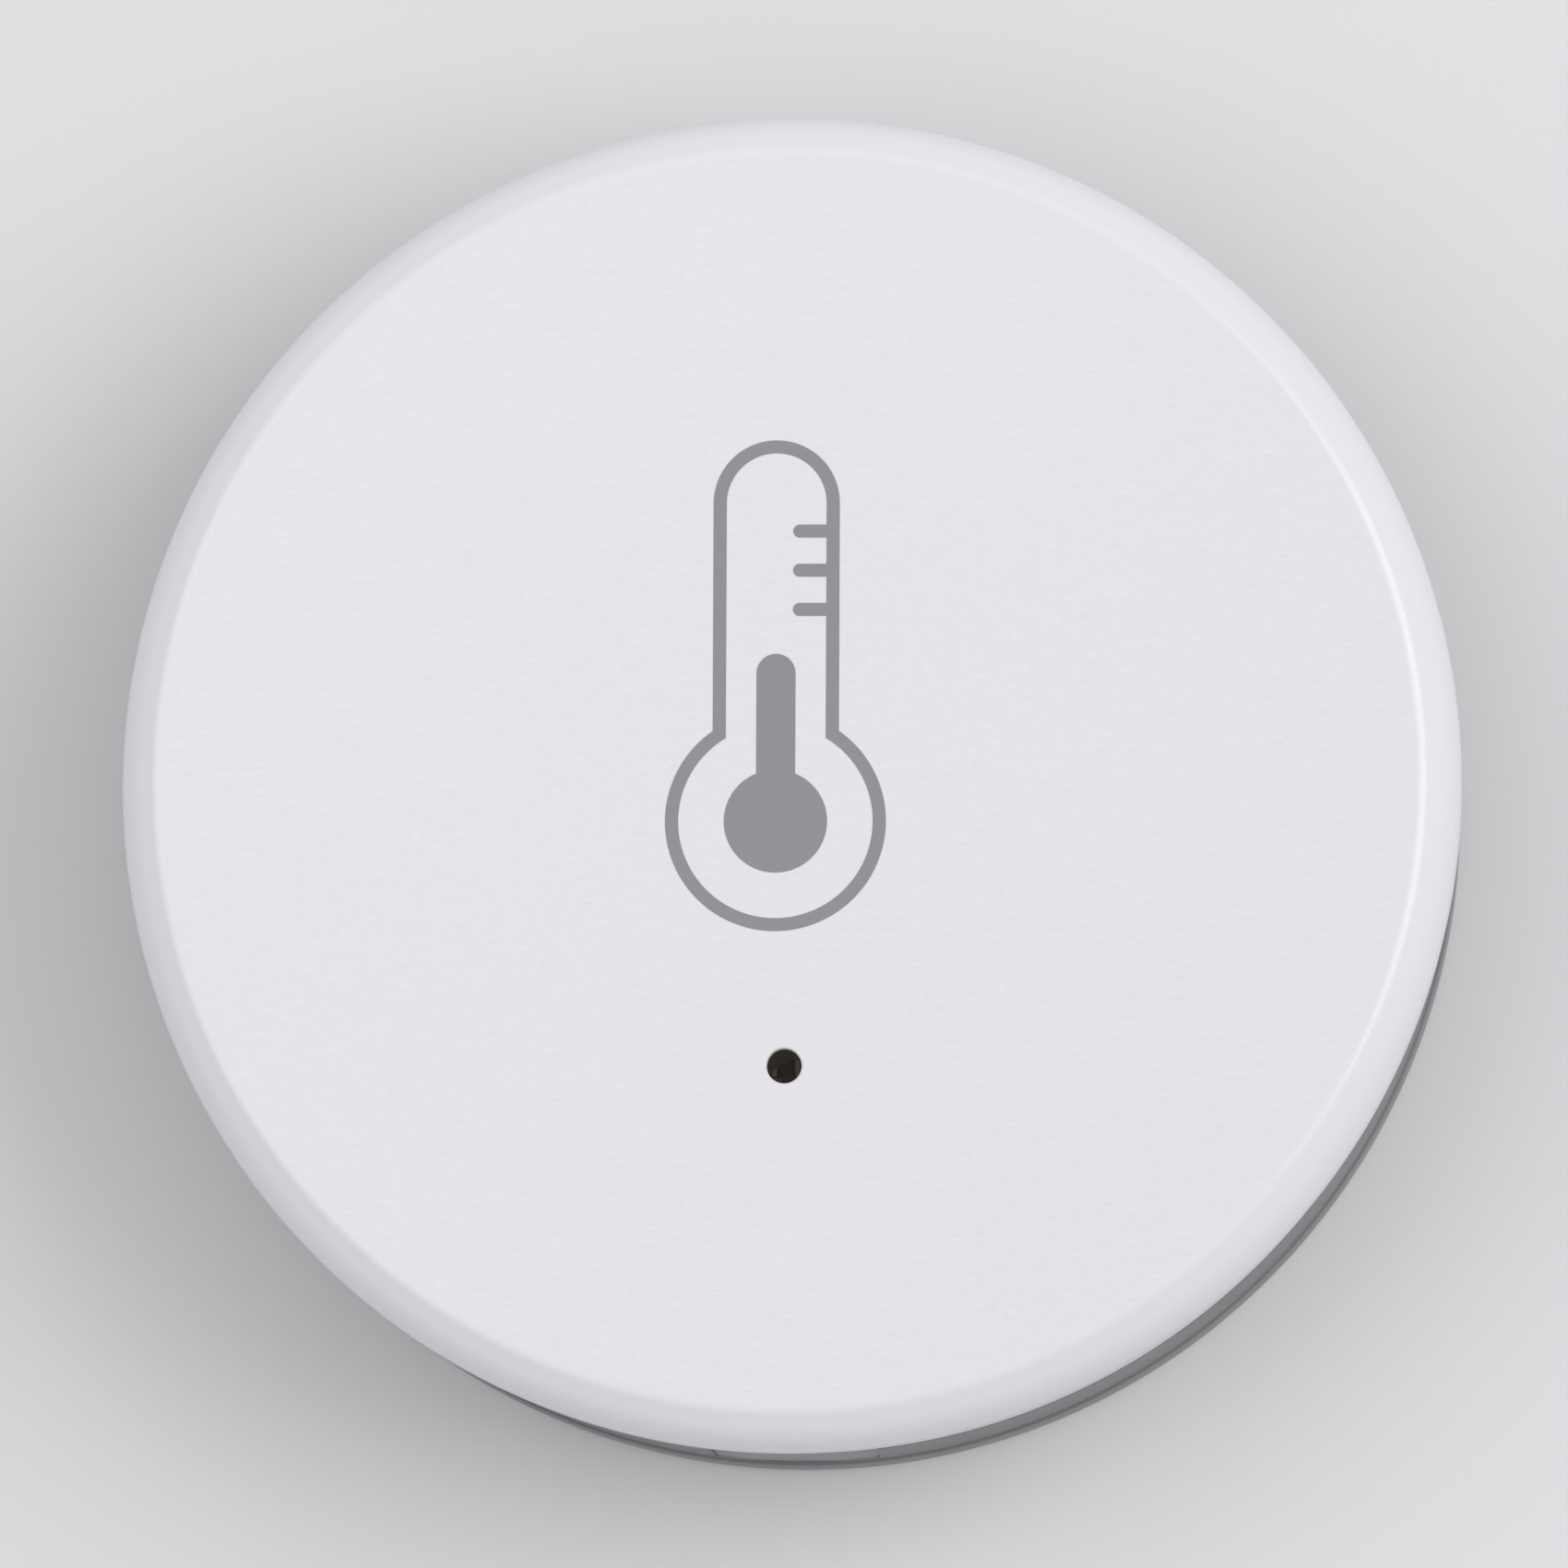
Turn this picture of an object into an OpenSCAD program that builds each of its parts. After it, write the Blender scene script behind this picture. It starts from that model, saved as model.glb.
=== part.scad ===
// Round battery powered sensor for room temperature and humidity, lying on its back.
// +Z points out of the face and +Y to the top of the face.
// The origin is the middle of the back.

/* [Body] */
// Diameter of the front cover where it is widest
body_d = 36; // [35.8:0.1:42]
// Height from the back to the face
body_h = 11.5; // [11.3:0.1:14]
// Height of the rear housing's ledge, where the seam is
seam_h = 4.2; // [4:0.1:4.6]
// Gap of the seam between the ledge and the cover's rim
seam_gap = 0.12; // [0.06:0.02:0.2]

/* [Front cover] */
// Radial width of the bevelled shoulder round the face
shoulder_w = 1.15; // [1.1:0.01:1.5]
// Slope of the bevel, in degrees below the face
bevel_angle = 38; // [30:1:42]
// Radius between the face and the bevel
face_edge_r = 0.5; // [0.2:0.05:0.7]
// Radius between the bevel and the side
side_edge_r = 1.4; // [0.8:0.05:1.5]
// Height of the upright band below the shoulder
band_h = 0.5; // [0.2:0.05:1]
// How far the side draws in between the band and the seam
tuck_w = 0.48; // [0.3:0.02:0.6]
// Thickness of the cover's wall at the seam
cover_wall = 0.9; // [0.8:0.02:1]
// Thickness of the face
roof_t = 1.3; // [1.1:0.05:1.4]
// Radius inside between the face and the wall
roof_fillet = 0.8; // [0.3:0.05:1]
// Diameter of the hole for the light
hole_d = 0.94; // [0.7:0.02:1.3]
// Distance of the hole below the middle of the face
hole_drop = 7.74; // [7.5:0.01:7.9]
// Thickness of the face that is left round the hole
hole_web = 0.35; // [0.25:0.05:0.6]
// Bore of the light tube behind the hole
tube_d = 1.6; // [1.4:0.05:1.8]
// Wall of the light tube
tube_wall = 0.5; // [0.35:0.05:0.6]
// Distance from the light tube to the diode
tube_gap = 0.6; // [0.3:0.05:0.8]
// Thickness of the stops that keep the cell down
stop_t = 0.9; // [0.6:0.05:1.2]
// Length of the stops
stop_l = 5; // [3:0.25:8]
// Distance between the stops
stop_pitch = 4.5; // [3:0.25:6]
// Distance from the stops to the cell
stop_gap = 0.3; // [0.2:0.05:0.4]
// Radius of the stiffening rib under the face
rib_r = 13; // [12:0.1:14]
// Thickness of the stiffening rib
rib_t = 0.8; // [0.5:0.05:1.2]
// Depth of the stiffening rib, as a share of the room above the cell
rib_share = 0.3; // [0.15:0.05:0.4]
// How far the snap beads stand out
bead_t = 0.12; // [0.06:0.01:0.13]
// Height of the snap beads
bead_h = 0.8; // [0.5:0.05:1]
// Arc that one snap bead covers, in degrees
bead_arc = 14; // [6:1:16]

/* [Rear housing] */
// Thickness of the floor
floor_t = 1.2; // [1:0.05:1.4]
// Height of the foot
foot_h = 1.3; // [0.8:0.05:1.4]
// How far the foot stands out past the wall
foot_w = 0.08; // [0.06:0.01:0.2]
// Radius under the foot
foot_edge_r = 0.3; // [0.1:0.05:0.4]
// Thickness of the locating rim
tongue_t = 0.8; // [0.6:0.05:0.9]
// Height of the locating rim above the ledge
tongue_h = 2.3; // [2:0.1:2.6]
// Chamfer on the locating rim
tongue_chamfer = 0.3; // [0.1:0.05:0.5]
// Radial clearance between the locating rim and the cover
tongue_clear = 0.2; // [0.18:0.01:0.3]
// Width of the pry recess
pry_w = 4.5; // [3:0.1:7]
// Depth of the pry recess at the seam
pry_depth = 0.95; // [0.6:0.05:1]
// Depth of the pry recess at its lower end
pry_depth_low = 0.1; // [0.05:0.05:0.4]
// Height of the wall that is left between the foot and the pry recess
pry_lift = 0.5; // [0.2:0.05:0.8]
// Radius of the lower corners of the pry recess
pry_corner_r = 0.6; // [0.2:0.05:1]
// Number of air slots
vent_n = 7; // [3:1:7]
// Width of an air slot
vent_w = 1.6; // [1:0.05:1.8]
// Angle from one air slot to the next
vent_pitch = 10; // [8:0.5:10]
// Height of an air slot
vent_h = 2.9; // [1.5:0.1:3.1]
// Width of the web below an air slot, from the top of the foot
vent_lift = 1.2; // [0.8:0.1:1.5]
// Thickness of the floor's stiffening ribs
floor_rib_t = 0.8; // [0.5:0.05:1.2]
// Height of the floor's stiffening ribs
floor_rib_h = 0.7; // [0.3:0.05:1.2]

/* [Circuit board] */
// Height of the space below the board
post_h = 1.8; // [1.6:0.1:2]
// Thickness of the board
board_t = 1; // [0.8:0.1:1.2]
// Clearance round the board
board_clear = 0.15; // [0.1:0.05:0.3]
// Width of the ledges that the board lies on
ledge_w = 1; // [0.6:0.05:1.4]
// Arc that one ledge covers, in degrees
ledge_arc = 16; // [8:1:20]
// Width of the key that keeps the board from turning
key_w = 2; // [1:0.1:3]
// Depth of the key
key_t = 0.9; // [0.5:0.05:1.2]
// Clearance round the key
key_clear = 0.1; // [0.05:0.05:0.2]
// Width of the slots that keep the board's heat from the humidity chip
iso_w = 0.6; // [0.4:0.05:0.7]

/* [Board screws] */
// Distance of the screws from the edge of the board
screw_inset = 2.1; // [1.9:0.1:2.3]
// Angle of the screws below the middle, in degrees
screw_angle = 19.5; // [17:0.5:21]
// Diameter of the shank
screw_d = 1.5; // [1.2:0.1:1.8]
// Length of the shank below the head
screw_l = 2.6; // [2:0.1:2.7]
// Diameter of the head
head_d = 3; // [2.6:0.1:3.2]
// Height of the head
head_h = 0.9; // [0.6:0.1:1.2]
// Radial clearance of the shank in its boss
screw_clear = 0.04; // [0.02:0.01:0.06]
// Wall of the boss round the shank
boss_wall = 1.1; // [0.8:0.05:1.2]

/* [Coin cell] */
// Diameter of the coin cell
cell_d = 20; // [19.8:0.1:20]
// Height of the coin cell
cell_h = 3.2; // [2.5:0.1:3.2]
// Thickness of the can and of the cap
cell_skin = 0.25; // [0.15:0.05:0.3]
// Radius of the can's top edge
can_edge_r = 0.5; // [0.3:0.05:0.8]
// Radial width of the crimped edge below
crimp_w = 0.9; // [0.6:0.05:1.2]
// Height of the crimp's slope
crimp_h = 0.5; // [0.3:0.05:0.8]
// Width of the gasket that shows between can and cap
gasket_w = 0.25; // [0.15:0.05:0.4]
// How far the cap stands out below the can
cap_drop = 0.2; // [0.1:0.05:0.35]
// Gap below the coin cell
cell_gap = 0.1; // [0.05:0.05:0.2]

/* [Cell holder] */
// Radial clearance round the coin cell
holder_clear = 0.25; // [0.2:0.05:0.3]
// Wall of the holder
holder_wall = 0.6; // [0.5:0.05:0.65]
// Thickness of the holder's floor
holder_floor = 0.6; // [0.5:0.05:0.7]
// Height of the holder above the board
holder_h = 2.9; // [2:0.1:3]
// Width of the gap that lets a tool lift the cell
lift_w = 7; // [4:0.25:9]
// Distance from the holder to the edge of the board
holder_inset = 0.15; // [0.1:0.05:0.2]
// Width of the window for the lower contact
well_w = 10; // [9.6:0.1:12]
// Height of that window
well_l = 4.4; // [4:0.1:6]

/* [Contacts] */
// Thickness of the contact strip
strip_t = 0.2; // [0.15:0.01:0.25]
// Width of a side contact
side_w = 3.4; // [2.5:0.1:3.6]
// Clearance of the side contacts in the holder
side_clear = 0.3; // [0.2:0.05:0.5]
// Reach of a side contact's foot, from the cell's rim
side_reach = 3; // [2.4:0.1:3.2]
// Distance from a side contact to the cell
side_gap = 0.14; // [0.1:0.01:0.2]
// Width of one finger of the lower contact
finger_w = 1.3; // [0.8:0.1:1.6]
// Distance between the fingers
finger_gap = 0.6; // [0.4:0.1:0.8]
// Length of the lower contact
leaf_l = 8.4; // [7:0.1:8.8]
// Distance from the fingers to the cell
leaf_gap = 0.08; // [0.05:0.01:0.1]

/* [Radio] */
// Side of the radio chip
radio_w = 5; // [4:0.1:5.2]
// Height of the radio chip
radio_h = 0.85; // [0.6:0.05:1]
// Distance of the radio chip's middle from the edge of the board
radio_inset = 3.9; // [3.8:0.1:4]
// Angle of the radio chip round the board, in degrees
radio_angle = 242; // [241:0.5:243]
// Length of the crystal
crystal_l = 2.5; // [2:0.1:2.6]
// Width of the crystal
crystal_w = 2; // [1.6:0.1:2.2]
// Height of the crystal
crystal_h = 0.6; // [0.4:0.05:0.8]
// Distance from the radio chip to the crystal
crystal_gap = 0.85; // [0.6:0.05:1]
// Length of the antenna
antenna_l = 3.2; // [2.8:0.1:3.4]
// Width of the antenna
antenna_w = 1.6; // [1.2:0.1:1.6]
// Height of the antenna
antenna_h = 0.5; // [0.4:0.05:0.8]
// Distance of the antenna's middle from the edge of the board
antenna_inset = 2; // [1.8:0.1:2.1]
// Angle of the antenna round the board, in degrees
antenna_angle = 272.5; // [271:0.5:274]

/* [Light] */
// Length of the diode
led_l = 1.6; // [1.2:0.1:1.8]
// Width of the diode
led_w = 0.8; // [0.6:0.05:1]
// Thickness of the diode's substrate
led_base_h = 0.25; // [0.2:0.05:0.35]
// Height of the diode's lens
led_lens_h = 0.35; // [0.2:0.05:0.45]
// Length of the bare end of the substrate
led_end = 0.3; // [0.15:0.05:0.4]

/* [Humidity chip] */
// Side of the humidity chip
humid_w = 2.5; // [2:0.1:2.6]
// Height of the humidity chip
humid_h = 0.9; // [0.6:0.05:1.1]
// Distance of the humidity chip's middle from the edge of the board
humid_inset = 2.2; // [2:0.1:2.4]
// Diameter of the opening in the humidity chip
humid_hole_d = 1.1; // [0.6:0.1:1.5]
// Depth of the opening
humid_hole_depth = 0.3; // [0.1:0.05:0.5]

/* [Pairing button] */
// Length of the switch
switch_l = 4; // [3.6:0.1:4.2]
// Width of the switch
switch_w = 3; // [2.9:0.1:3.2]
// Height of the switch's base
switch_h = 1.3; // [1.2:0.05:1.5]
// Distance of the switch's middle from the edge of the board
switch_inset = 3.2; // [3.1:0.1:3.4]
// Angle of the switch round the board, in degrees
switch_angle = 296.5; // [295:0.5:298]
// Diameter of the well in the switch
switch_well_d = 2.6; // [2.5:0.05:2.7]
// Thickness of the floor in the switch
switch_floor = 0.3; // [0.2:0.05:0.35]
// Thickness of the metal cover on the switch
switch_lid_t = 0.15; // [0.1:0.01:0.2]
// Height of the metal cover's side tabs
switch_tab_h = 0.9; // [0.5:0.05:1.1]
// Diameter of the button
button_d = 1.7; // [1.3:0.05:1.8]
// How far the button stands out
button_h = 0.45; // [0.35:0.05:0.6]
// Radial clearance of the button in the metal cover
button_clear = 0.1; // [0.05:0.01:0.12]
// Thickness of the flange that keeps the button in
button_flange_t = 0.2; // [0.15:0.05:0.25]
// Diameter of that flange
button_flange_d = 2.3; // [2.15:0.05:2.35]
// Travel of the button
button_travel = 0.25; // [0.15:0.01:0.26]
// Thickness of the snap dome
dome_t = 0.08; // [0.05:0.01:0.1]
// Height of the snap dome
dome_h = 0.3; // [0.15:0.01:0.32]

/* [Small parts] */
// Length of the reservoir capacitor
tank_l = 3.2; // [2.8:0.1:3.4]
// Width of the reservoir capacitor
tank_w = 1.6; // [1.2:0.1:1.7]
// Height of the reservoir capacitor
tank_h = 1.1; // [0.8:0.05:1.4]
// Distance of the reservoir capacitor's middle from the edge of the board
tank_inset = 2.5; // [2.4:0.1:2.6]
// Angle of the reservoir capacitor round the board, in degrees
tank_angle = 322; // [321:0.5:323]
// Length of the supervisor chip
guard_l = 2.9; // [2.6:0.1:3]
// Width of the supervisor chip
guard_w = 1.3; // [1.1:0.05:1.35]
// Height of the supervisor chip
guard_h = 0.9; // [0.7:0.05:1]
// Distance of the supervisor chip from the board
guard_lift = 0.1; // [0.05:0.05:0.15]
// Distance from the light tube to the supervisor chip
guard_gap = 1.35; // [1.2:0.05:1.5]
// Reach of a lead past the supervisor chip
lead_reach = 0.45; // [0.3:0.05:0.5]
// Width of a lead
lead_w = 0.4; // [0.3:0.05:0.5]
// Thickness of a lead
lead_t = 0.12; // [0.08:0.01:0.16]
// Distance between the two leads of one side
lead_pitch = 1.9; // [1.6:0.1:2]
// Length of a chip capacitor or resistor
chip_l = 1; // [0.8:0.05:1.05]
// Width of a chip capacitor or resistor
chip_w = 0.5; // [0.3:0.05:0.55]
// Height of a chip capacitor
chip_cap_h = 0.5; // [0.3:0.05:0.6]
// Height of a chip resistor
chip_res_h = 0.35; // [0.2:0.05:0.45]
// Distance from one small chip to the next
chip_pitch = 1.2; // [1.1:0.05:1.25]
// Distance of the small chips from what they stand beside
chip_gap = 0.3; // [0.2:0.05:0.35]

/* [Hidden] */
$fn = 96;

// Overrun of a cut, and how far one shape reaches into another that carries it.
over = 0.5;
lap = 0.15;

// Radii from the outside in.
body_r = body_d / 2;
seam_r = body_r - tuck_w;
foot_r = seam_r + foot_w;
cover_in_r = seam_r - cover_wall;
tongue_r = cover_in_r - tongue_clear;
tongue_in_r = tongue_r - tongue_t;
board_r = tongue_in_r - board_clear;

// Heights from the back to the face.
tongue_top = seam_h + tongue_h;
board_z = floor_t + post_h;
board_top = board_z + board_t;
cell_z = board_top + holder_floor + cell_gap;
cell_top = cell_z + cell_h;
roof_z = body_h - roof_t;
rim_z = seam_h + seam_gap;

// Shoulder: an edge radius, a straight bevel and a larger radius into the upright band.
face_r = body_r - shoulder_w;
bevel_w = shoulder_w - face_edge_r * sin(bevel_angle) - side_edge_r * (1 - sin(bevel_angle));
band_top = body_h - face_edge_r * (1 - cos(bevel_angle)) - bevel_w * tan(bevel_angle)
    - side_edge_r * cos(bevel_angle);
band_bottom = band_top - band_h;
rim_chamfer = cover_wall / 9;

// Snap beads and their grooves, halfway up the locating rim.
bead_z = seam_h + tongue_h / 2;
bead_angles = [45, 135, 225, 315];
groove_depth = 2 * bead_t;
groove_arc = 1.15 * bead_arc;

// Coin cell and holder.
cell_r = cell_d / 2;
holder_in_r = cell_r + holder_clear;
holder_out_r = holder_in_r + holder_wall;
cell_y = board_r - holder_inset - holder_out_r;
holder_z = board_top + holder_floor;
cap_r = cell_r - crimp_w - gasket_w;

// The diode sits under the hole, and the light tube ends above the diode.
led_y = -hole_drop;
led_top = board_top + led_base_h + led_lens_h;
tube_r = tube_d / 2 + tube_wall;

// Height of the button's flange above the board.
flange_top = switch_h - dome_t / 2;

// Air slots in front of the humidity chip, on the left.
vent_mid = 180;
vent_z = foot_h + vent_lift;

// A place on the board, by its distance from the edge and its angle.
function on_board(inset, angle, z) = [(board_r - inset) * cos(angle), (board_r - inset) * sin(angle), z];

radio_at = on_board(radio_inset, radio_angle, board_top);
antenna_at = on_board(antenna_inset, antenna_angle, board_top);
humid_at = on_board(humid_inset, vent_mid, board_top);
switch_at = on_board(switch_inset, switch_angle, board_top);
tank_at = on_board(tank_inset, tank_angle, board_top);
guard_at = [tube_r + guard_gap + guard_l / 2, led_y, board_top];

// Points on an arc, from angle a0 to angle a1 in n steps.
function arc(c, r, a0, a1, n) =
    [for (i = [0:n]) let (a = a0 + (a1 - a0) * i / n) c + r * [cos(a), sin(a)]];

// Unit vector at right angles to the step from p to q, on its left.
function left_of(p, q) = let (d = q - p) [-d.y, d.x] / norm(d);

// Offset of point i of a path by half a strip's thickness, mitred at the bends.
function side_point(path, i, h) =
    let (n = len(path) - 1,
         u = left_of(path[max(i - 1, 0)], path[max(i, 1)]),
         v = left_of(path[min(i, n - 1)], path[min(i + 1, n)]))
    path[i] + (u + v) * h / (1 + u * v);

// Outline of a bent strip of thickness t that follows a path.
function strip(path, t) = concat(
    [for (i = [0:len(path) - 1]) side_point(path, i, t / 2)],
    [for (i = [len(path) - 1:-1:0]) side_point(path, i, -t / 2)]);

// A box that stands on a place and is centred there.
module block(size, at) {
    translate(at - [size.x / 2, size.y / 2, 0]) cube(size);
}

// A bent strip of width w: its path runs along +X and Z, and it is centred on y = 0.
module bent_strip(path, t, w) {
    translate([0, w / 2, 0]) rotate([90, 0, 0]) linear_extrude(w) polygon(strip(path, t));
}

// A part of a ring, from r0 to r1 and z0 to z1, centred on an angle.
module ring_part(r0, r1, z0, z1, mid, span) {
    rotate([0, 0, mid - span / 2]) rotate_extrude(angle = span)
        polygon([[r0, z0], [r1, z0], [r1, z1], [r0, z1]]);
}

// Closed outline of the cover's shell: over the face, down the side and back inside.
cover_outline = concat(
    [[0, body_h]],
    arc([face_r, body_h - face_edge_r], face_edge_r, 90, 90 - bevel_angle, 5),
    arc([body_r - side_edge_r, band_top], side_edge_r, 90 - bevel_angle, 0, 12),
    [[body_r, band_bottom], [seam_r, rim_z + rim_chamfer], [seam_r - rim_chamfer, rim_z],
     [cover_in_r, rim_z]],
    arc([cover_in_r - roof_fillet, roof_z - roof_fillet], roof_fillet, 0, 90, 6),
    [[0, roof_z]]);

// A snap bead on the cover's inner wall, or the groove for one with some room.
module bead(r, t, h, span, mid) {
    rotate([0, 0, mid - span / 2]) rotate_extrude(angle = span)
        polygon([[r + lap, bead_z - h / 2 - lap], [r, bead_z - h / 2], [r - t, bead_z - h / 4],
                 [r - t, bead_z + h / 4], [r, bead_z + h / 2], [r + lap, bead_z + h / 2 + lap]]);
}

module cell_stops() {
    stop_z = cell_top + stop_gap;
    for (i = [-1:1])
        block([stop_t, stop_l, roof_z + lap - stop_z], [i * stop_pitch, cell_y, stop_z]);
}

module light_tube() {
    tube_z = led_top + tube_gap;
    translate([0, led_y, tube_z]) cylinder(r = tube_r, h = roof_z + lap - tube_z);
}

module light_hole() {
    translate([0, led_y, led_top]) cylinder(d = hole_d, h = body_h + over - led_top);
    translate([0, led_y, led_top]) cylinder(d = tube_d, h = body_h - hole_web - led_top);
}

module front_cover() {
    color("white") difference() {
        union() {
            rotate_extrude() polygon(cover_outline);
            for (a = bead_angles) bead(cover_in_r, bead_t, bead_h, bead_arc, a);
            ring_part(rib_r - rib_t, rib_r, roof_z - rib_share * (roof_z - cell_top), roof_z + lap, 0, 360);
            cell_stops();
            light_tube();
        }
        light_hole();
    }
}

// Closed outline of the rear housing: foot, wall, ledge, locating rim and floor.
housing_outline = concat(
    [[0, 0]],
    arc([foot_r - foot_edge_r, foot_edge_r], foot_edge_r, -90, 0, 5),
    [[foot_r, foot_h - foot_w / 2], [foot_r - foot_w / 2, foot_h], [seam_r, foot_h],
     [seam_r, seam_h], [tongue_r, seam_h], [tongue_r, tongue_top - tongue_chamfer],
     [tongue_r - tongue_chamfer, tongue_top], [tongue_in_r, tongue_top],
     [tongue_in_r, floor_t], [0, floor_t]]);

// Recess for a coin or a blade: a ramp that leans inwards towards the seam.
module pry_recess() {
    r = pry_corner_r;
    w = pry_w;
    low = foot_h + pry_lift;
    top = seam_h + over;
    intersection() {
        translate([0, w / 2, 0]) rotate([90, 0, 0]) linear_extrude(w)
            polygon([[seam_r - pry_depth_low, low], [foot_r + over, low], [foot_r + over, top],
                     [seam_r - pry_depth, top], [seam_r - pry_depth, seam_h]]);
        translate([0, 0, low]) rotate([90, 0, 90]) linear_extrude(foot_r + over) union() {
            translate([-w / 2, r]) square([w, top - low - r]);
            translate([r - w / 2, 0]) square([w - 2 * r, top - low]);
            for (s = [-1, 1]) translate([s * (w / 2 - r), r]) circle(r);
        }
    }
}

module air_slots() {
    for (i = [0:vent_n - 1])
        rotate([0, 0, vent_mid + (i - (vent_n - 1) / 2) * vent_pitch])
            translate([tongue_in_r - over, -vent_w / 2, vent_z])
                cube([foot_r - tongue_in_r + 2 * over, vent_w, vent_h]);
}

module at_screws(z) {
    for (a = [180 + screw_angle, -screw_angle]) translate(on_board(screw_inset, a, z)) children();
}

// Ribs on the floor: one round, and four that run from it to the locating rim.
module floor_ribs() {
    rib_in = holder_in_r / 2;
    top = floor_t + floor_rib_h;
    ring_part(rib_in - floor_rib_t, rib_in, floor_t - lap, top, 0, 360);
    for (a = bead_angles)
        rotate([0, 0, a]) translate([rib_in - lap, -floor_rib_t / 2, floor_t - lap])
            cube([tongue_in_r - rib_in + 2 * lap, floor_rib_t, floor_rib_h + lap]);
}

module rear_housing() {
    boss_r = screw_d / 2 + screw_clear + boss_wall;
    color("darkgray") difference() {
        union() {
            rotate_extrude() polygon(housing_outline);
            for (a = bead_angles)
                ring_part(tongue_in_r - ledge_w, tongue_in_r + lap, floor_t - lap, board_z, a, ledge_arc);
            block([key_w, key_t + lap, board_top - floor_t + lap],
                  [0, tongue_in_r - (key_t - lap) / 2, floor_t - lap]);
            at_screws(floor_t - lap) cylinder(r = boss_r, h = post_h + lap);
            floor_ribs();
        }
        for (a = bead_angles)
            bead(tongue_r, groove_depth, bead_h + 2 * bead_t, groove_arc, a);
        rotate([0, 0, -90]) pry_recess();
        air_slots();
        at_screws(board_top - screw_l - over / 2)
            cylinder(r = screw_d / 2 + screw_clear, h = screw_l + over);
    }
}

// Slots round three sides of the humidity chip, apart at the corners for the tracks.
module heat_slots() {
    reach = humid_w / 2 + chip_gap + iso_w / 2;
    low = board_t + over;
    block([iso_w, humid_w, low + over], humid_at + [reach, 0, -low]);
    for (s = [-1, 1])
        block([humid_w, iso_w, low + over], humid_at + [-chip_gap, s * reach, -low]);
}

module circuit_board() {
    color("seagreen") difference() {
        translate([0, 0, board_z]) cylinder(r = board_r, h = board_t);
        block([key_w + 2 * key_clear, 2 * (key_t + key_clear), board_t + 2 * over],
              [0, tongue_in_r, board_z - over]);
        at_screws(board_z - over) cylinder(r = screw_d / 2 + 2 * lap, h = board_t + 2 * over);
        heat_slots();
    }
}

module board_screws() {
    color("silver") at_screws(board_top) {
        translate([0, 0, -screw_l]) cylinder(d = screw_d, h = screw_l + head_h / 2);
        rotate_extrude()
            polygon(concat([[0, 0]], [[head_d / 2, 0]],
                           arc([head_d / 2 - head_h / 2, head_h / 2], head_h / 2, 0, 90, 5),
                           [[0, head_h]]));
    }
}

module cell_holder() {
    color([0.12, 0.12, 0.13]) difference() {
        translate([0, cell_y, board_top]) rotate_extrude()
            polygon([[0, 0], [holder_out_r, 0], [holder_out_r, holder_h], [holder_in_r, holder_h],
                     [holder_in_r, holder_floor], [0, holder_floor]]);
        block([well_w, well_l, holder_floor + 2 * over], [0, cell_y, board_top - over]);
        block([lift_w, holder_out_r, holder_h], [0, cell_y - holder_out_r, holder_z]);
        for (s = [-1, 1])
            block([holder_out_r, side_w + 2 * side_clear, holder_h + 2 * over],
                  [s * (holder_in_r - holder_clear / 2 + holder_out_r / 2), cell_y, board_top - over]);
    }
}

// Path of a side contact, outwards from the cell's middle: foot, riser, fold and sprung leaf.
function side_path(foot_z) =
    let (tip = cell_r + side_gap + strip_t / 2,
         top = cell_top - can_edge_r - 3 * strip_t,
         riser = tip + 5 * strip_t)
    [[cell_r + side_reach, foot_z], [riser, foot_z], [riser, top], [riser - 2 * strip_t, top + strip_t],
     [riser - 3.5 * strip_t, top - strip_t], [tip, (top + board_top) / 2],
     [tip + 1.5 * strip_t, board_top + holder_floor]];

module side_contacts() {
    color("gold") for (m = [0, 1]) mirror([m, 0, 0])
        translate([0, cell_y, 0]) bent_strip(side_path(board_top + strip_t / 2), strip_t, side_w);
}

// The lower contact: a foot on the board and two fingers that rise to the cell's cap.
module lower_contact() {
    low = board_top + strip_t / 2;
    high = cell_z - leaf_gap - strip_t / 2;
    x0 = -leaf_l / 2;
    color("gold") translate([0, cell_y, 0]) {
        bent_strip([[x0, low], [x0 + leaf_l / 4, low]], strip_t, 2 * finger_w + finger_gap);
        for (s = [-1, 1]) translate([0, s * (finger_w + finger_gap) / 2, 0])
            bent_strip([[x0 + leaf_l / 4 - lap, low], [x0 + leaf_l / 3, low], [x0 + leaf_l * 0.8, high],
                        [x0 + leaf_l, high - strip_t]], strip_t, finger_w);
    }
}

// The can: a cup with its closed side up, crimped inwards below.
module cell_can() {
    top = cell_h;
    low = cap_drop;
    color("silver") translate([0, cell_y, cell_z]) rotate_extrude()
        polygon(concat(
            [[0, top]],
            arc([cell_r - can_edge_r, top - can_edge_r], can_edge_r, 90, 0, 6),
            [[cell_r, low + crimp_h], [cell_r - crimp_w, low], [cell_r - crimp_w, low + cell_skin],
             [cell_r - cell_skin, low + crimp_h + cell_skin]],
            arc([cell_r - can_edge_r, top - can_edge_r], can_edge_r - cell_skin / 2, 0, 90, 4),
            [[0, top - cell_skin]]));
}

// The gasket: a ring that fills the gap between the crimp and the cap.
module cell_gasket() {
    color("dimgray") translate([0, cell_y, cell_z]) rotate_extrude()
        polygon([[cap_r, cap_drop - lap / 3], [cap_r + gasket_w, cap_drop - lap / 3],
                 [cap_r + gasket_w, cap_drop + 2 * cell_skin],
                 [cell_r - cell_skin - gasket_w, cap_drop + crimp_h + 2 * cell_skin],
                 [cell_r - cell_skin - gasket_w, cell_h / 2], [cap_r, cell_h / 2]]);
}

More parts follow.
